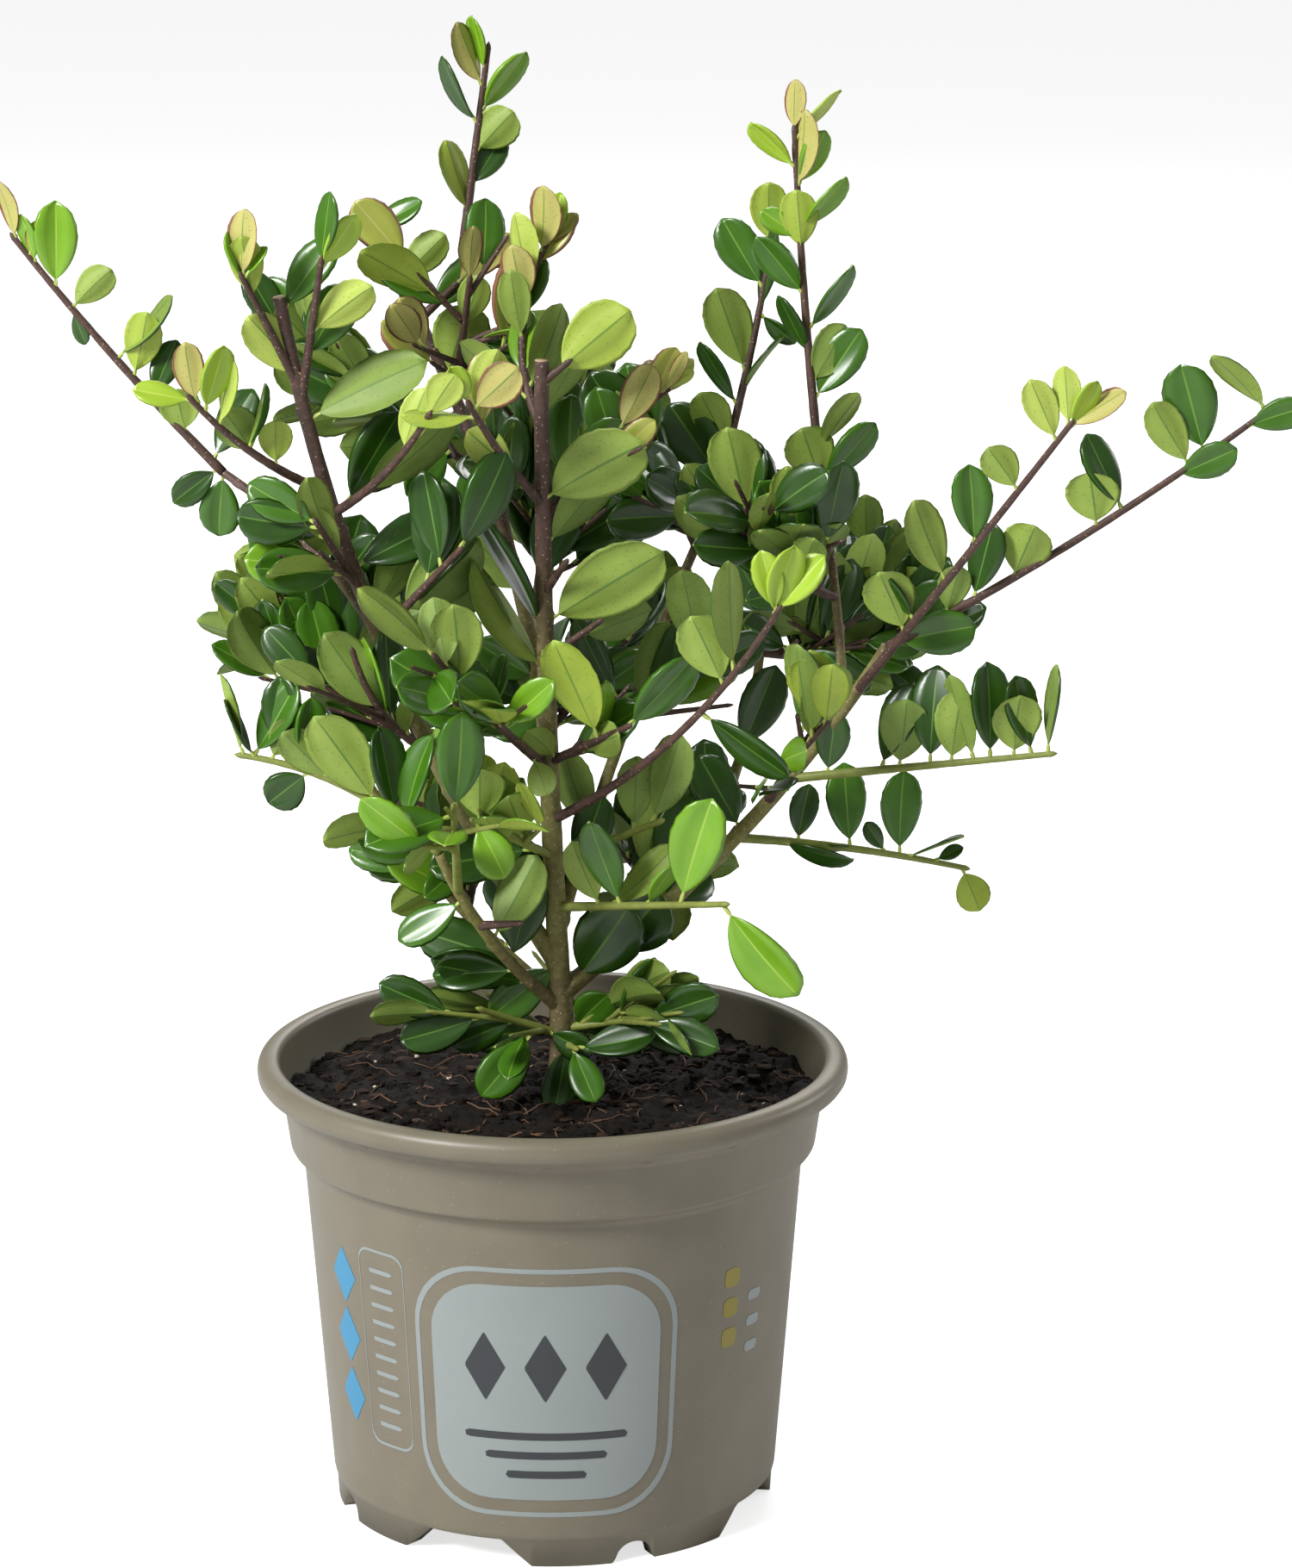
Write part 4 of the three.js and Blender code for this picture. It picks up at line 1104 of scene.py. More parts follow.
def grow_mass(name, shoot, number):
    """The leaves and side twigs that the solid of this mass has too."""
    count, size, lift, side = shoot["foliage"]
    draw = seeded_random(101 + number)
    place_leaves(curves[name], count, size, lift, draw, spaces[name], placed[name], leaves, name)
    for i in range(side):
        share = SIDE_FROM + (SIDE_TO - SIDE_FROM) * i / side
        twig = grow_twig(curves[name], share, size, lift, draw, spaces[name], placed[name], leaves, name)
        if twig:
            twigs.append((name, twig))


leaves, twigs = [], []
spaces = {name: space_of(name) for name in SHOOTS}
placed = {name: [] for name in SHOOTS}
for number, (name, shoot) in enumerate(SHOOTS.items()):
    grow_mass(name, shoot, number)
print("leaves:", len(leaves), "stems:", len(curves), "twigs:", len(twigs))

# %% [markdown]
# Some leaves stand in front of all others, and a viewer knows this plant by them: two big pale
# ones right of the trunk, the lime tips, the one that hangs over the rim. Each has its own row,
# with the stem that carries it, its slant as seen from the front and how far it leans forward.
# A leaf that looks narrow is a whole leaf turned about its rib. Leaves of the rule that would
# cut such a leaf or hide it are left out. On the outer shoots every leaf stands clear against the
# background, so these shoots take all their leaves from the rows. About forty rows stand for no
# leaf in particular: they fill places where the plant is dense and the rule leaves a gap.

# %% Leaves seen singly
# Carrier, share along it, slant, length, width as seen, lean, side seen, age. Degrees and mm.
SINGLE_LEAVES = (
    ("front_upper", 0.03, 34, 25, 13.5, 10, "under", "grown"),
    ("trunk", 0.75, 49, 25, 9, -8, "under", "old"),
    ("trunk", 0.65, 34, 29, 14, 12, "under", "grown"),
    ("spur_mid", 0.65, 12, 18, 8, -30, "under", "old"),
    ("stub_right", 0.65, 112, 24, 10, 14, "under", "fresh"),
    ("stub_right", 1.0, 46, 20, 8.5, 8, "upper", "grown"),
    ("stub_right", 0.1, 126, 11, 6, 25, "under", "grown"),
    ("front_left", 1.0, 130, 21.5, 5.7, 10, "under", "grown"),
    ("front_left", 0.78, 92, 18, 10, 5, "under", "grown"),
    ("trunk", 0.58, 126, 29, 5.7, 5, "under", "grown"),
    ("front_left", 0.53, 71, 13, 3.5, -10, "upper", "grown"),
    ("left_big", 0.95, 82, 21, 9, 5, "upper", "grown"),
    ("front_left_low", 0.95, 88, 13, 10, 10, "under", "grown"),
    ("front_left_low", 1.0, -59, 13, 8, 10, "upper", "fresh"),
    ("front_left", 0.15, -66, 9, 6, 20, "under", "grown"),
    ("front_left_low", 0.23, 190, 22, 8, 0, "upper", "old"),
    ("left_low", 0.35, 121, 23, 11, 10, "under", "grown"),
    ("left_low", 0.25, 100, 19, 7, -5, "upper", "old"),
    ("left_low", 0.2, 79, 19, 6.5, 0, "upper", "grown"),
    ("left_low", 0.72, 84, 15, 6, 0, "upper", "grown"),
    ("left_heart", 0.23, 42, 23, 11.5, -5, "under", "old"),
    ("left_inner", 0.23, 37, 26, 9.5, 0, "under", "old"),
    ("left", 0.83, 31, 27, 9, 5, "under", "old"),
    ("left_shoulder", 0.65, 112, 17, 6.5, 10, "under", "grown"),
    ("left_shoulder", 0.48, 122, 14, 7, 15, "under", "grown"),
    ("left_side", 0.5, 126, 21, 9.5, 5, "under", "old"),
    ("left_side", 0.45, 103, 18, 4.7, 5, "upper", "fresh"),
    ("left_side", 0.4, 95, 20, 5.7, -5, "upper", "old"),
    ("front_low_right", 0.75, 76, 24, 10, 5, "upper", "fresh"),
    ("front_low_right", 0.55, 59, 12, 4, 15, "upper", "fresh"),
    ("front_low_right", 0.4, 111, 19, 8, 5, "upper", "grown"),
    ("front_low_right", 0.27, 113, 15, 7, 0, "under", "grown"),
    ("front_low_right", 0.33, 34, 18, 5, -10, "under", "grown"),
    ("front_low_right", 1.0, -54, 24, 10, 8, "upper", "fresh"),
    ("right", 0.04, 56, 20, 13.5, 12, "upper", "old"),
    ("right", 0.12, 48, 17, 13, -5, "upper", "old"),
    ("base_right", 0.2, 53, 12, 8, 25, "upper", "grown"),
    ("base_left", 0.2, -25, 11, 6, 20, "upper", "old"),
    ("base_front", 1.0, 8, 17, 5, 5, "upper", "old"),
    ("trunk", 0.18, 215, 18, 8.5, 15, "upper", "grown"),
    ("rear_left", 0.12, 172, 20, 9, 5, "upper", "old"),
    ("low_left", 0.3, 185, 18, 7, -5, "upper", "old"),
    ("base_left", 0.6, 200, 14, 7, 5, "upper", "old"),
    ("front_right", 0.62, -36, 22, 7.5, 10, "upper", "old"),
    ("front_right", 0.73, 112, 16, 10, 5, "under", "grown"),
    ("front_right", 0.78, 96, 23, 6, 0, "under", "grown"),
    ("front_right", 1.0, 103, 13, 6, 5, "upper", "lime"),
    ("front_right", 0.98, 78, 16, 7, 10, "upper", "lime"),
    ("front_right", 1.0, 54, 15, 6, 5, "upper", "lime"),
    ("mid_low", 0.68, 89, 16, 7.6, 0, "under", "old"),
    ("cap", 0.53, 40, 20, 12, 0, "under", "fresh"),
    ("trunk", 0.93, 57, 21, 7, -10, "under", "old"),
    ("front_upper", 0.93, 70, 14, 7, 0, "under", "lime"),
    ("front_upper", 1.0, 115, 9, 5, 5, "upper", "lime"),
    ("front_upper", 0.97, 41, 13, 8, 8, "under", "olive"),
    ("front_upper", 0.9, 175, 15, 2.5, 5, "under", "fresh"),
    ("front_upper", 0.35, 138, 13, 7, 0, "under", "lime"),
    ("mid", 0.15, 70, 17, 8, -15, "upper", "old"),
    ("mid", 0.25, 110, 17, 8, -15, "under", "old"),
    ("rear", 0.15, 60, 18, 8, 0, "upper", "old"),
    ("right_low", 0.6, 60, 18, 9, -10, "upper", "old"),
    ("back", 0.42, 130, 22, 9, -10, "under", "old"),
    ("rear_tip", 0.1, 75, 22, 10, 0, "upper", "old"),
    ("rear_side", 0.9, 60, 20, 9, 0, "upper", "old"),
    ("rear_right", 0.3, 100, 18, 9, 0, "upper", "old"),
    ("right", 0.5, 120, 18, 9, -10, "upper", "old"),
    ("far_left", 1.0, 97, 13, 4, 5, "under", "olive"),
    ("far_left", 0.93, 79, 8, 3.5, 5, "under", "olive"),
    ("far_left", 0.9, 102, 11, 4, 5, "upper", "fresh"),
    ("far_left", 0.8, 87, 18, 8.5, 5, "upper", "fresh"),
    ("far_left", 0.72, 47, 12, 6.5, 10, "under", "grown"),
    ("far_left", 0.72, -71, 8, 3.5, 0, "upper", "old"),
    ("far_left", 0.5, 46, 18, 1.5, 5, "under", "old"),
    ("far_left", 0.42, 74, 15, 7.5, 8, "under", "fresh"),
    ("far_left", 0.33, 69, 13, 6, -10, "upper", "old"),
    ("far_left", 0.17, 101, 10, 8, 5, "under", "grown"),
    ("far_left", 0.05, 63, 17, 6.5, -10, "upper", "old"),
    ("left_outer", 1.0, 168, 12, 4.5, 5, "upper", "lime"),
    ("left_outer", 0.97, 101, 13, 6, 5, "under", "olive"),
    ("left_outer", 0.9, 72, 15, 6, 10, "upper", "lime"),
    ("left_outer", 0.78, 75, 15, 3.5, 5, "under", "lime"),
    ("left_outer", 0.55, 74, 14, 1.5, 0, "upper", "grown"),
    ("left_outer", 0.5, 125, 11, 8, -12, "under", "old"),
    ("left_outer", 0.35, 90, 10, 6.5, 5, "under", "fresh"),
    ("left_upper", 1.0, 90, 14, 5.5, 5, "under", "olive"),
    ("left_upper", 0.95, 112, 11, 2.5, 0, "upper", "fresh"),
    ("left_upper", 1.0, 51, 8, 2.5, 0, "upper", "fresh"),
    ("left_upper", 0.8, 100, 14, 6.5, 8, "under", "fresh"),
    ("left", 0.98, 56, 18, 7, -5, "upper", "grown"),
    ("left_mid", 0.15, 128, 18, 8, 10, "under", "lime"),
    ("left_mid", 1.0, 82, 15, 5, 5, "upper", "grown"),
    ("left_mid", 0.97, 57, 13, 5, 5, "upper", "lime"),
    ("left_inner", 0.7, 72, 14, 6, 5, "under", "lime"),
    ("left_inner", 1.0, 60, 11, 7, 5, "under", "lime"),
    ("back", 0.98, 27, 13, 4.5, 5, "upper", "grown"),
    ("back", 0.9, 45, 14, 7, 5, "under", "grown"),
    ("back", 0.75, 74, 17.5, 11, 8, "under", "grown"),
    ("back_side", 1.0, 90, 12, 5, 5, "under", "olive"),
    ("back_side", 0.6, 73, 12, 6.5, 5, "under", "grown"),
    ("top", 0.82, 112, 15, 5, 5, "under", "olive"),
    ("top", 0.9, 100, 12, 3, 0, "upper", "fresh"),
    ("top", 0.7, 52, 16, 5.5, 5, "upper", "fresh"),
    ("top", 0.64, 125, 16, 3.5, 0, "upper", "old"),
    ("top", 0.5, 48, 12, 8.5, 10, "under", "grown"),
    ("top", 0.33, 56, 13, 6, -10, "upper", "old"),
    ("top", 0.2, 106, 16, 4.5, 5, "under", "fresh"),
    ("upright", 1.0, 91, 11, 4.5, 0, "under", "olive"),
    ("upright", 0.98, 48, 14, 3, 5, "under", "lime"),
    ("upright", 0.9, 132, 13.5, 4.5, 0, "upper", "lime"),
    ("upright", 0.85, 62, 13, 5.5, 5, "upper", "fresh"),
    ("upright", 0.84, 81, 17, 5.5, 8, "under", "olive"),
    ("upright", 0.72, 51, 15, 4.5, 5, "upper", "fresh"),
    ("upright", 0.7, 142, 10, 5, 0, "upper", "fresh"),
    ("upright", 0.66, 93, 13.5, 7.5, 8, "under", "fresh"),
    ("upright", 0.54, 126, 16, 7, 5, "upper", "grown"),
    ("upright", 0.44, 55, 17, 5, 5, "upper", "grown"),
    ("upright", 0.37, 118, 14, 4, -5, "upper", "old"),
    ("upright", 0.29, 58, 14, 8, 0, "under", "old"),
    ("upright", 0.24, 56, 18, 7.5, -5, "upper", "grown"),
    ("upright", 0.1, 58, 15, 5, 5, "under", "grown"),
    ("upright", 0.0, 108, 13, 10, 8, "under", "grown"),
    ("upright", 0.0, 49, 17, 6.5, 0, "upper", "grown"),
    ("right_inner", 1.0, 102, 20, 10.5, 5, "under", "grown"),
    ("right_high", 0.95, 113, 14, 6.5, 8, "under", "lime"),
    ("right_high", 1.0, 92, 12.5, 5.5, 0, "under", "lime"),
    ("right_high", 1.0, 58, 11, 4.5, 5, "upper", "lime"),
    ("right_high", 1.0, 33, 13.5, 2.7, 5, "under", "olive"),
    ("right_high", 0.78, 122, 11, 7, 5, "under", "grown"),
    ("right_high", 0.58, 92, 17, 8, 0, "upper", "grown"),
    ("right_high", 0.45, 115, 19, 8, 8, "under", "grown"),
    ("right_high", 0.3, 132, 13, 3.8, -5, "upper", "old"),
    ("right_high", 0.25, 111, 15, 10, 8, "under", "grown"),
    ("right_far", 1.0, 128, 17, 5, 5, "under", "grown"),
    ("right_far", 0.94, 23, 14, 6.5, 5, "upper", "grown"),
    ("right_far", 0.83, 105, 20, 10.5, 0, "upper", "grown"),
    ("right_far", 0.79, 122, 16, 7.5, 8, "under", "grown"),
    ("right_far", 0.75, 25, 14, 7, 5, "upper", "grown"),
    ("right_far", 0.61, 115, 17.5, 6, 0, "upper", "old"),
    ("right_far", 0.54, 96, 12, 10.5, 8, "under", "grown"),
    ("right_far", 0.32, 68, 13, 10, 8, "under", "grown"),
    ("right_far", 0.22, 77, 17, 6.5, 0, "upper", "old"),
    ("right_far", 0.15, 77, 11, 6.5, 0, "under", "old"),
    ("right_far", 0.02, 15, 17, 9, 0, "upper", "grown"),
    ("low_right", 0.15, 81, 14, 7, 0, "upper", "old"),
    ("low_right", 0.36, 72, 19, 6, -5, "upper", "old"),
    ("low_right", 0.43, 83, 15, 9.7, 5, "under", "old"),
    ("low_right", 0.55, 88, 20.5, 9, -5, "upper", "old"),
    ("low_right", 0.63, 84, 15.5, 8.7, 5, "under", "grown"),
    ("low_right", 0.72, 108, 18.5, 5.3, -8, "under", "old"),
    ("low_right", 0.78, 90, 20, 8, -5, "upper", "old"),
    ("low_right", 0.87, 88, 14, 9.7, 5, "under", "grown"),
    ("low_right", 0.94, 104, 17, 6, -8, "upper", "old"),
    ("low_right", 1.0, 86, 19, 1.5, 0, "under", "old"),
    ("lowest_right", 0.2, -20, 15.5, 5, 10, "upper", "old"),
    ("lowest_right", 0.27, 81, 12.5, 5.7, -5, "upper", "old"),
    ("lowest_right", 0.5, 95, 18, 8, -5, "upper", "grown"),
    ("lowest_right", 0.55, 168, 10, 2.3, 5, "upper", "old"),
    ("lowest_right", 0.66, 124, 8, 3.5, 5, "upper", "old"),
    ("lowest_right", 0.72, 90, 18, 8.3, -5, "upper", "grown"),
    ("lowest_right", 0.75, 22, 13, 2, 5, "under", "old"),
    ("lowest_right", 0.87, 30, 7, 2.7, 5, "upper", "old"),
    ("lowest_right", 1.0, -66, 10, 7, 8, "under", "fresh"),
    ("left_low", 1.0, 108, 17.5, 2, 0, "under", "grown"),
    ("left_low", 0.95, 119, 14, 1.3, 5, "upper", "old"),
    ("left_low", 0.96, 58, 18, 7, 0, "upper", "grown"),
    ("left_low", 0.88, 61, 10.5, 6.3, 5, "under", "old"),
    ("left_low", 0.78, 99, 18.5, 8, -8, "upper", "old"),
    ("left_low", 0.7, 220, 11, 8, -5, "upper", "old"),
    ("left_low", 0.6, 130, 14, 7.5, 5, "under", "old"),
    ("low_left", 0.75, 214, 16, 6, 0, "upper", "grown"),
    ("trunk", 0.63, 115, 31, 5.5, -3, "upper", "old"),
    ("back", 0.45, 137, 16, 9, 5, "under", "old"),
    ("back", 0.3, 150, 15, 8, -5, "upper", "grown"),
    ("left_heart", 1.0, 60, 22, 9, -5, "upper", "old"),
    ("left_heart", 0.8, 100, 20, 8, -8, "upper", "old"),
    ("left_heart", 0.3, 46, 22, 3, 0, "upper", "old"),
    ("left_heart", 0.6, 80, 22, 10, -12, "upper", "old"),
    ("left_inner", 0.1, 60, 22, 9, -12, "upper", "old"),
    ("left_heart", 0.1, 20, 22, 9, -8, "under", "old"),
    ("front_left", 0.9, 100, 15, 8, -15, "under", "old"),
    ("mid_low", 0.9, 70, 20, 8, 0, "under", "old"),
    ("mid_front", 0.2, 75, 20, 8, -5, "under", "old"),
    ("left", 0.1, 100, 16, 8, -8, "upper", "old"),
    ("left", 0.05, 130, 16, 8, -5, "upper", "old"),
    ("low_left", 0.2, 168, 20, 8, 0, "upper", "old"),
    ("rear_left", 0.15, 160, 22, 9, -5, "upper", "old"),
    ("left_shoulder", 1.0, 150, 16, 8, 0, "upper", "grown"),
    ("left_shoulder", 0.95, 175, 17, 9, -5, "upper", "old"),
    ("left_shoulder", 0.8, 160, 18, 8, -8, "upper", "old"),
    ("far_left", 0.0, 262, 14, 8, -5, "upper", "grown"),
    ("far_left", 0.02, 215, 12, 6, 0, "upper", "old"),
    ("mid_top", 0.52, 107, 20, 9.5, 5, "under", "grown"),
    ("mid_top", 0.84, 121, 17, 8.5, 0, "upper", "grown"),
    ("mid_top", 1.0, 95, 14, 7.5, 5, "under", "fresh"),
    ("mid_top", 0.74, 75, 19, 3, 0, "upper", "old"),
    ("mid_top", 0.75, -40, 10, 4, 5, "upper", "old"),
    ("mid_top", 0.24, 115, 14, 8, 5, "under", "grown"),
    ("mid_top", 0.12, 122, 19, 11, 0, "upper", "old"),
    ("mid_top", 0.4, 122, 16, 4, 0, "upper", "old"),
    ("mid_top", 0.45, 60, 15, 1.5, 0, "under", "old"),
    ("low_left", 0.5, 60, 20, 9, -12, "under", "old"),
    ("low_left", 0.35, 75, 20, 9, -12, "upper", "old"),
    ("rear", 0.1, 120, 20, 9, 0, "upper", "old"),
    ("rear_left", 0.2, 80, 20, 9, 0, "upper", "old"),
    ("mid_front", 1.0, 100, 20, 9, 0, "under", "old"),
    ("mid_front", 0.8, 20, 18, 8, -5, "upper", "old"),
    ("mid_front", 0.6, 60, 20, 9, -5, "upper", "old"),
    ("rear_right", 0.6, 70, 20, 9, 0, "upper", "old"),
    ("left", 0.62, 28, 22, 8, -8, "upper", "old"),
    ("left", 0.55, 60, 20, 8, -8, "under", "old"),
    ("left_mid", 0.5, 40, 16, 8, 5, "under", "lime"),
    ("left_mid", 0.3, 62, 17, 9, -5, "upper", "grown"),
)
SEEN_WHOLE = ("far_left", "left_outer", "left_upper", "left_mid", "top", "upright", "right_high",
              "right_far", "low_right", "lowest_right", "left_low", "front_low_right", "mid_top")
HALF_WIDTH = 0.245  # of a leaf's length
NEAR_SINGLE = 1.3  # mm
# A leaf's stem hides its foot, and its fold takes some of its width. Both values were set by
# comparing the plant's outline with the real one's, not measured.
LONGER, WIDER = 1.05, 1.12
SIGHT_SLOPE = math.tan(math.radians(CAMERA_PITCH))


def single_leaf(carrier, share, slant, length, width, lean, side, age, turned):
    """A leaf from its row, turned about its rib until it looks as narrow as its row says."""
    curve = curves[carrier] if carrier in curves else limbs[carrier][0]
    slant, lean = math.radians(slant), math.radians(lean)
    length, width = LONGER * length, WIDER * width
    axis = np.array([math.cos(slant) * math.cos(lean), -math.sin(lean), math.sin(slant) * math.cos(lean)])
    face = unit(FRONT - axis * axis.dot(FRONT)) * (1 if side == "upper" else -1)
    half = max(HALF_WIDTH * length, width / 2)
    face = turned_round(face, axis, turned * math.acos(width / 2 / half))
    directions = (axis, np.cross(face, axis), face)
    return {"root": curve.at(share), "frame": directions, "length": length, "half": half, "along": 0.5,
            "kind": carrier, "age": age, "seen": width}


def seen_from_front(points):
    """Across and up in the picture's plane, and the depth away from the viewer."""
    return points[..., 0], points[..., 2] + points[..., 1] * SIGHT_SLOPE, points[..., 1]


singles = [single_leaf(*row, 1 if i % 2 else -1) for i, row in enumerate(SINGLE_LEAVES)]
single_spots = np.concatenate([leaf_spots(leaf["root"], leaf["frame"], leaf["length"]) for leaf in singles])
roots = seen_from_front(np.array([leaf["root"] for leaf in singles]))
tips = seen_from_front(np.array([leaf["root"] + leaf["length"] * leaf["frame"][0] for leaf in singles]))
spans = [tip - root for root, tip in zip(roots, tips)]
lengths_seen = np.hypot(spans[0], spans[1])
half_seen = np.array([leaf["seen"] / 2 for leaf in singles])


def spoils_single(points):
    """Whether a leaf or twig, given by points, would cut a single leaf or hide it."""
    if np.linalg.norm(points[:, None] - single_spots[None], axis=-1).min() < NEAR_SINGLE:
        return True
    x, z, depth = (part[:, None] for part in seen_from_front(points))
    along = ((x - roots[0]) * spans[0] + (z - roots[1]) * spans[1]) / lengths_seen**2
    across = ((x - roots[0]) * spans[1] - (z - roots[1]) * spans[0]) / lengths_seen
    covers = ((along - 0.57) / 0.43) ** 2 + (across / half_seen) ** 2 < 1
    before = depth < roots[2] + spans[2] * along
    return bool(((covers & before).sum(axis=0) > 1).any())


kept = [leaf for leaf in leaves if leaf["kind"] not in SEEN_WHOLE
        and not spoils_single(leaf_spots(leaf["root"], leaf["frame"], leaf["length"]))]
print("single leaves:", len(singles), "left out for them:", len(leaves) - len(kept))
leaves = kept + singles

# %% [markdown]
# A living shoot is finer than its solid. So each mass gets more small twigs in the same space,
# and each stem ends in a tuft of very young leaves that stand close round its bud. They use their
# own seeds, because extra draws in between would move every leaf that comes after them.

# %% Finer growth
TUFTED = ("front_upper", "front_right", "left_inner", "crest", "back_crest", "right_small", "back_side")
SPARSE_SHOOTS = ("front_right", "cap", "base_front", "back_crest", "crest", "right_small", "front_upper")
FINE_TWIGS, FINE_LEAVES, FINE_TRIES = 20, 5, 6  # twigs of a mass, leaves of a twig, tries for each
FINE_SIZE, FINE_LIFT, FINE_APART = 1.0, 0.3, 1.4


def finer_space(name):
    """A mass's own space, no further out than the solids' box and clear of the single leaves."""
    low, high = np.array(cad_box[0]) + MM, np.array(cad_box[1]) - MM

    def inside(points):
        places = in_metres(points)
        if not ((places > low) & (places < high)).all():
            return False
        return spaces[name](points) and not spoils_single(points)

    return inside


def finer_twig(name, share, size, lift, draw, inside):
    """A small twig in any direction round the stem, with a few leaves, if there is room for it."""
    for _ in range(FINE_TRIES):
        heading, reach, rise = 360 * draw(), 7 + 14 * draw(), 3 + 14 * draw()
        twig = Curve(curves[name].at(share), sized("", 0, heading, reach, rise))
        if not inside(twig.steps(4)[1:]):
            continue
        before = len(leaves)
        place_leaves(twig, FINE_LEAVES, FINE_SIZE * size, lift + FINE_LIFT, draw, inside, placed[name],
                     leaves, name, FINE_APART)
        for leaf in leaves[before:]:
            leaf["twig"] = twig
        if len(leaves) > before:
            twigs.append((name, twig))
            return


def tuft(name, count, size, draw, inside):
    """Small upright leaves round the tip of a stem."""
    turn = 2 * math.pi * draw()
    for i in range(count):
        turn += math.radians(GOLDEN)
        spread = math.radians(10 + 22 * i / count + 10 * draw())
        length = size * (0.42 + 0.34 * i / count) * (0.85 + 0.3 * draw())
        directions = leaf_frame(curves[name], 1.0, turn, spread, 0.1, 0.8 * (draw() - 0.5))
        root = curves[name].at(1.0) - 0.5 * i * curves[name].direction(1.0)
        spots = leaf_spots(root, directions, length)
        if inside(spots[1:]):
            leaves.append({"root": root, "frame": directions, "length": length, "along": 1.1, "kind": name})


for number, (name, shoot) in enumerate(SHOOTS.items()):
    draw = seeded_random(1001 + number)
    _, size, lift, _ = shoot["foliage"]
    inside = finer_space(name)
    if name not in SEEN_WHOLE and name not in GREEN_TWIGS:
        tuft(name, 5 if name in TUFTED else 2, size, draw, inside)
    if name not in SEEN_WHOLE and name not in SPARSE_SHOOTS:
        for i in range(FINE_TWIGS):
            finer_twig(name, 0.12 + 0.8 * (i + draw()) / FINE_TWIGS, size, lift, draw, inside)
leafy = {id(leaf["twig"]) for leaf in leaves if "twig" in leaf}
twigs = [(name, twig) for name, twig in twigs if id(twig) in leafy]
print("leaves with the finer growth:", len(leaves), "twigs:", len(twigs))

# %% [markdown]
# Twigs are slim tubes with a swelling under each leaf and a pointed bud at the tip. The young
# ones are green, the older ones purplish brown, so each shoot has one of two finishes.

# %% Twigs
TWIG_BROWN = mottled_material("brown_twig", "3e2a26", "5d4338", 500.0, 2.0, 0.6, 0.5, 0.0002)
add_dots(TWIG_BROWN, 1000.0, 0.2, "ae9c88", 0.7)
TWIG_GREEN = mottled_material("green_twig", "737c36", "8b9444", 400.0, 2.0, 0.55, 0.3, 0.0001)
STEM_RADII, TWIG_RADII = (1.05, 0.62), (0.7, 0.45)


def twig_tube(curve, radii, steps):
    shares = np.linspace(0, 1, steps + 1)
    widths = radii[0] + (radii[1] - radii[0]) * shares
    widths = widths * (1 + 0.09 * np.abs(np.sin(shares * steps * 1.3)))
    tip = curve.tip + curve.direction(1.0) * np.array([[0.7], [1.5], [2.2]])
    path = np.concatenate([curve.at(shares), tip])
    ends = radii[1] * np.array([1.15, 0.8, 0.12])
    return tube(path, np.concatenate([widths, ends]), 10)


def twig_piece(members):
    parts = [twig_tube(curves[name], STEM_RADII, 28) for name in members]
    parts += [twig_tube(curve, TWIG_RADII, 10) for shoot, curve in twigs if shoot in members]
    places, faces, _ = join_parts(parts)
    return places, faces


brown = [name for name in SHOOTS if name not in GREEN_TWIGS]
make_piece("twigs_brown", *twig_piece(brown), [TWIG_BROWN], slot="bark")
make_piece("twigs_green", *twig_piece(GREEN_TWIGS), [TWIG_GREEN], slot="bark")

# %% [markdown]
# A leaf is a grid bent into shape: a short stalk, then a blade that is broadest past its middle,
# with small rounded teeth towards a blunt tip. Its two sides are separate sheets that meet at the
# margin, so the glossy upper side and the dull underside get their own finish. The middle strip
# is the rib: a groove above and a ridge below.

# %% Leaf shape
ACROSS = np.array([-1.0, -0.86, -0.45, -0.04, 0.04, 0.45, 0.86, 1.0])
STALK_ROWS, BLADE_ROWS = 3, 15
STALK_HALF = 0.42  # mm
BLADE_SHARES = np.linspace(0, 1, BLADE_ROWS)
blade = BLADE_SHARES**0.74 * (1 - BLADE_SHARES) ** 0.54
BLADE_OUTLINE = blade / blade.max()
TOOTHED = (BLADE_SHARES > 0.5) & (BLADE_SHARES < 0.97)
TEETH = np.where(TOOTHED, np.where(np.arange(BLADE_ROWS) % 2 == 0, 0.016, -0.016), 0.0)


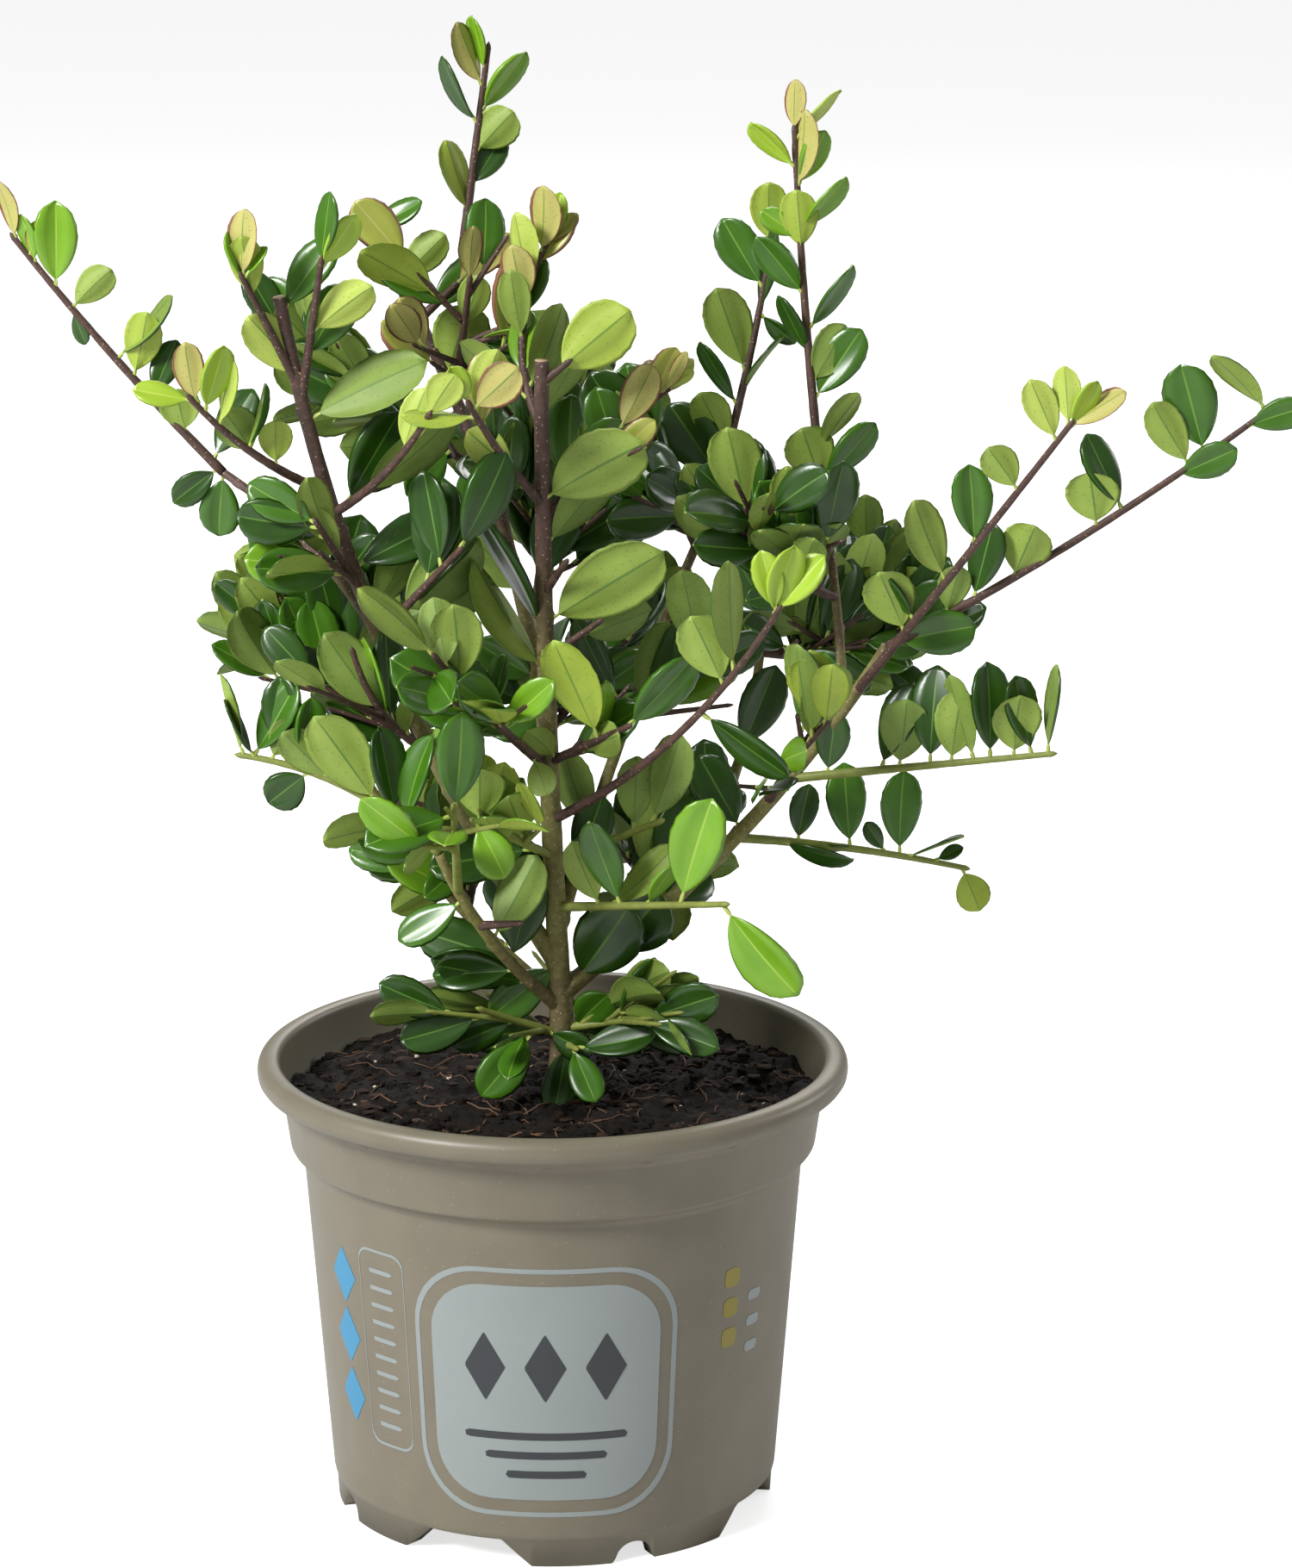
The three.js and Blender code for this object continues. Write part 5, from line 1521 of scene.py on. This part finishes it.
def leaf_places(leaf, draw):
    """Places of one leaf's two sheets, as (2, rows, columns, 3)."""
    axis, across, face = leaf["frame"]
    length = leaf["length"]
    stalk = max(1.6, 0.12 * length)
    half = leaf.get("half")
    if not half:
        half = HALF_WIDTH * length * (0.9 + 0.25 * draw.random()) * (0.8 if leaf["along"] > 1 else 1)
    arch = draw.uniform(-0.10, 0.16) * length
    fold = draw.uniform(0.05, 0.42)
    twist = draw.uniform(-0.25, 0.25)
    sway = draw.uniform(-0.05, 0.05) * length
    wave = draw.uniform(0, 2 * math.pi)
    rows = STALK_ROWS + BLADE_ROWS
    stalk_places = np.linspace(0, stalk, STALK_ROWS, endpoint=False)
    along = np.concatenate([stalk_places, stalk + (length - stalk) * BLADE_SHARES])
    share = np.concatenate([np.zeros(STALK_ROWS), BLADE_SHARES])
    outline = half * (BLADE_OUTLINE + TEETH)
    widths = np.concatenate([np.full(STALK_ROWS, STALK_HALF), np.maximum(outline, 0.3)])
    side = ACROSS[None, :] * widths[:, None]
    from_rib = np.abs(ACROSS[None, :])
    rise = fold * from_rib**1.4 * widths[:, None] - 0.16 * (from_rib > 0.9) * widths[:, None]
    rise = rise - arch * share[:, None] ** 2 + 0.22 * np.sin(5 * share[:, None] + wave) * from_rib
    angle = twist * share[:, None]
    side, rise = side * np.cos(angle) - rise * np.sin(angle) * 0.3, rise + side * np.sin(angle)
    side = side + sway * share[:, None] ** 2
    thick = np.full(len(ACROSS), 0.14)
    above, under = thick.copy(), -thick
    middle = np.abs(ACROSS) < 0.1
    above[middle], under[middle] = 0.04, -0.36
    above[[0, -1]] = under[[0, -1]] = 0.0
    stalk_rows = np.arange(rows) < STALK_ROWS
    sheets = []
    for offset in (above, under):
        height = rise + offset[None, :]
        height[stalk_rows] = np.sign(offset)[None, :] * 0.36
        middle_line = leaf["root"] + along[:, None, None] * axis
        sheets.append(middle_line + side[..., None] * across + height[..., None] * face)
    return np.stack(sheets)


def leaf_faces():
    """Faces of one leaf, and for each its kind: upper, upper rib, under, under rib, stalk, margin."""
    rows, columns = STALK_ROWS + BLADE_ROWS, len(ACROSS)
    faces, kinds = [], []
    sheet = rows * columns

    def corner(layer, row, column):
        if column in (0, columns - 1):
            layer = 0
        return layer * sheet + row * columns + column

    for row in range(rows - 1):
        for column in range(columns - 1):
            strip = 1 if column == columns // 2 - 1 else 0
            edge = column in (0, columns - 2)
            a, b, c, d = ((row, column), (row, column + 1), (row + 1, column + 1), (row + 1, column))
            faces.append(tuple(corner(0, *p) for p in (a, b, c, d)))
            faces.append(tuple(corner(1, *p) for p in (d, c, b, a)))
            stalk = row < STALK_ROWS
            kinds += [4, 4] if stalk else [5, 6] if edge else [strip, 2 + strip]
    for row in (0, rows - 1):
        for column in range(columns - 1):
            beside = column + 1
            quad = [corner(0, row, column), corner(1, row, column), corner(1, row, beside),
                    corner(0, row, beside)]
            ring = list(dict.fromkeys(quad if row == 0 else quad[::-1]))
            faces.append(tuple(ring))
            kinds.append(4)
    return faces, kinds


LEAF_FACES, LEAF_KINDS = leaf_faces()
print("faces of one leaf:", len(LEAF_FACES))

# %% [markdown]
# Leaves differ by age. Old ones are dark and glossy above and dull yellow-green below, with fine
# dots. Young ones at the tips are lime, and the youngest have brown margins. Each age is a set of
# plain finishes. A leaf seen singly has its age in its row, and any other leaf gets its age from
# its shoot and from its place along it.

# %% Leaf finishes
def leaf_upper(name, first, second, roughness):
    material = mottled_material(name, first, second, 130.0, 1.6, roughness, 0.12, 0.0002)
    shader = material.node_tree.nodes["Principled BSDF"]
    shader.inputs["Coat Weight"].default_value = 0.25
    shader.inputs["Coat Roughness"].default_value = 0.2
    shader.inputs["Specular IOR Level"].default_value = 0.5
    return material


def leaf_under(name, first, second, dots):
    material = mottled_material(name, first, second, 160.0, 1.6, 0.55, 0.15, 0.0002)
    return add_dots(material, 1000.0, 0.21, dots, 0.6)


STALK = mottled_material("leaf_stalk", "a3b552", "b9c766", 200.0, 1.5, 0.5)
MARGIN_BROWN = mottled_material("brown_margin", "7a5238", "93664a", 300.0, 1.5, 0.5)
AGES = {
    "old": (leaf_upper("old_upper", "21420c", "2f5510", 0.3), "557f2c",
            leaf_under("old_under", "718a38", "859e46", "43591f")),
    "grown": (leaf_upper("grown_upper", "35600f", "467616", 0.3), "6b9434",
              leaf_under("grown_under", "829a3e", "97ae4b", "506824")),
    "fresh": (leaf_upper("fresh_upper", "66991b", "7eac26", 0.32), "98bc40",
              leaf_under("fresh_under", "97ae3c", "a9be48", "647c28")),
    "lime": (leaf_upper("lime_upper", "93b62c", "a9c73a", 0.36), "bdd05c",
             leaf_under("lime_under", "a6bb4c", "b9cb5e", "7b8c36")),
    "olive": (leaf_upper("olive_upper", "96a03e", "aeb052", 0.4), "b9b468",
              leaf_under("olive_under", "b0ac5c", "bfb76c", "86723f")),
}
RIB_BELOW = {"old": "4d7030", "grown": "567b30"}
age_names = list(AGES)
leaf_materials = []
for age, (upper, rib, under) in AGES.items():
    upper_rib = mottled_material(age + "_upper_rib", rib, rib, 200.0, 1.0, 0.4)
    rib_below = RIB_BELOW.get(age, "7d9a3c")
    under_rib = mottled_material(age + "_under_rib", rib_below, "6a8a3a", 200.0, 1.0, 0.5)
    margin = MARGIN_BROWN if age == "olive" else upper
    under_margin = MARGIN_BROWN if age == "olive" else under
    leaf_materials += [upper, upper_rib, under, under_rib, STALK, margin, under_margin]
KINDS = 7
print("leaf finishes:", len(leaf_materials))

# %% Leaf pieces
LEAVES_PER_PIECE = 330
leaf_draw = np.random.default_rng(5)
OLD_SHOOTS = ("base_left", "base_right", "base_front", "right_low", "rear_side", "mid_side",
              "right_inner", "back_outer", "rear_tip", "rear_left_tip", "rear_right_tip", "left_side")


def age_of(leaf):
    """The index of a leaf's age, from its shoot and its place along it."""
    if "age" in leaf:
        return age_names.index(leaf["age"])
    name, along = leaf["kind"], leaf["along"] + 0.12 * (leaf_draw.random() - 0.5)
    chance = leaf_draw.random()
    if name in OLIVE_TIPS and along > 0.55:
        return age_names.index("olive" if chance < 0.7 else "lime")
    if name in LIME_TIPS and along > 0.68:
        return age_names.index("lime" if chance < 0.75 else "olive")
    if name in OLD_SHOOTS:
        return age_names.index("old" if chance < 0.75 else "grown")
    if along > 0.8:
        return age_names.index("fresh")
    return age_names.index("grown" if chance < 0.55 else "old" if chance < 0.85 else "fresh")


def leaf_piece(name, members, **says):
    template = np.array([face + (face[-1],) * (4 - len(face)) for face in LEAF_FACES])
    sizes = [len(face) for face in LEAF_FACES]
    places, faces, slots = [], [], []
    for leaf in members:
        start = len(places)
        sheets = leaf_places(leaf, leaf_draw).reshape(-1, 3)
        places += sheets.tolist()
        faces += [tuple(row[:n]) for row, n in zip((template + start).tolist(), sizes)]
        age = age_of(leaf)
        slots += [KINDS * age + kind for kind in LEAF_KINDS]
    return make_piece(name, places, faces, leaf_materials, slots, slot="leaf", **says)


for number, start in enumerate(range(0, len(leaves), LEAVES_PER_PIECE)):
    masses = ["foliage_" + name for name in SHOOTS] if number == 0 else ()
    leaf_piece(f"leaves_{number + 1}", leaves[start : start + LEAVES_PER_PIECE], replaces=masses)
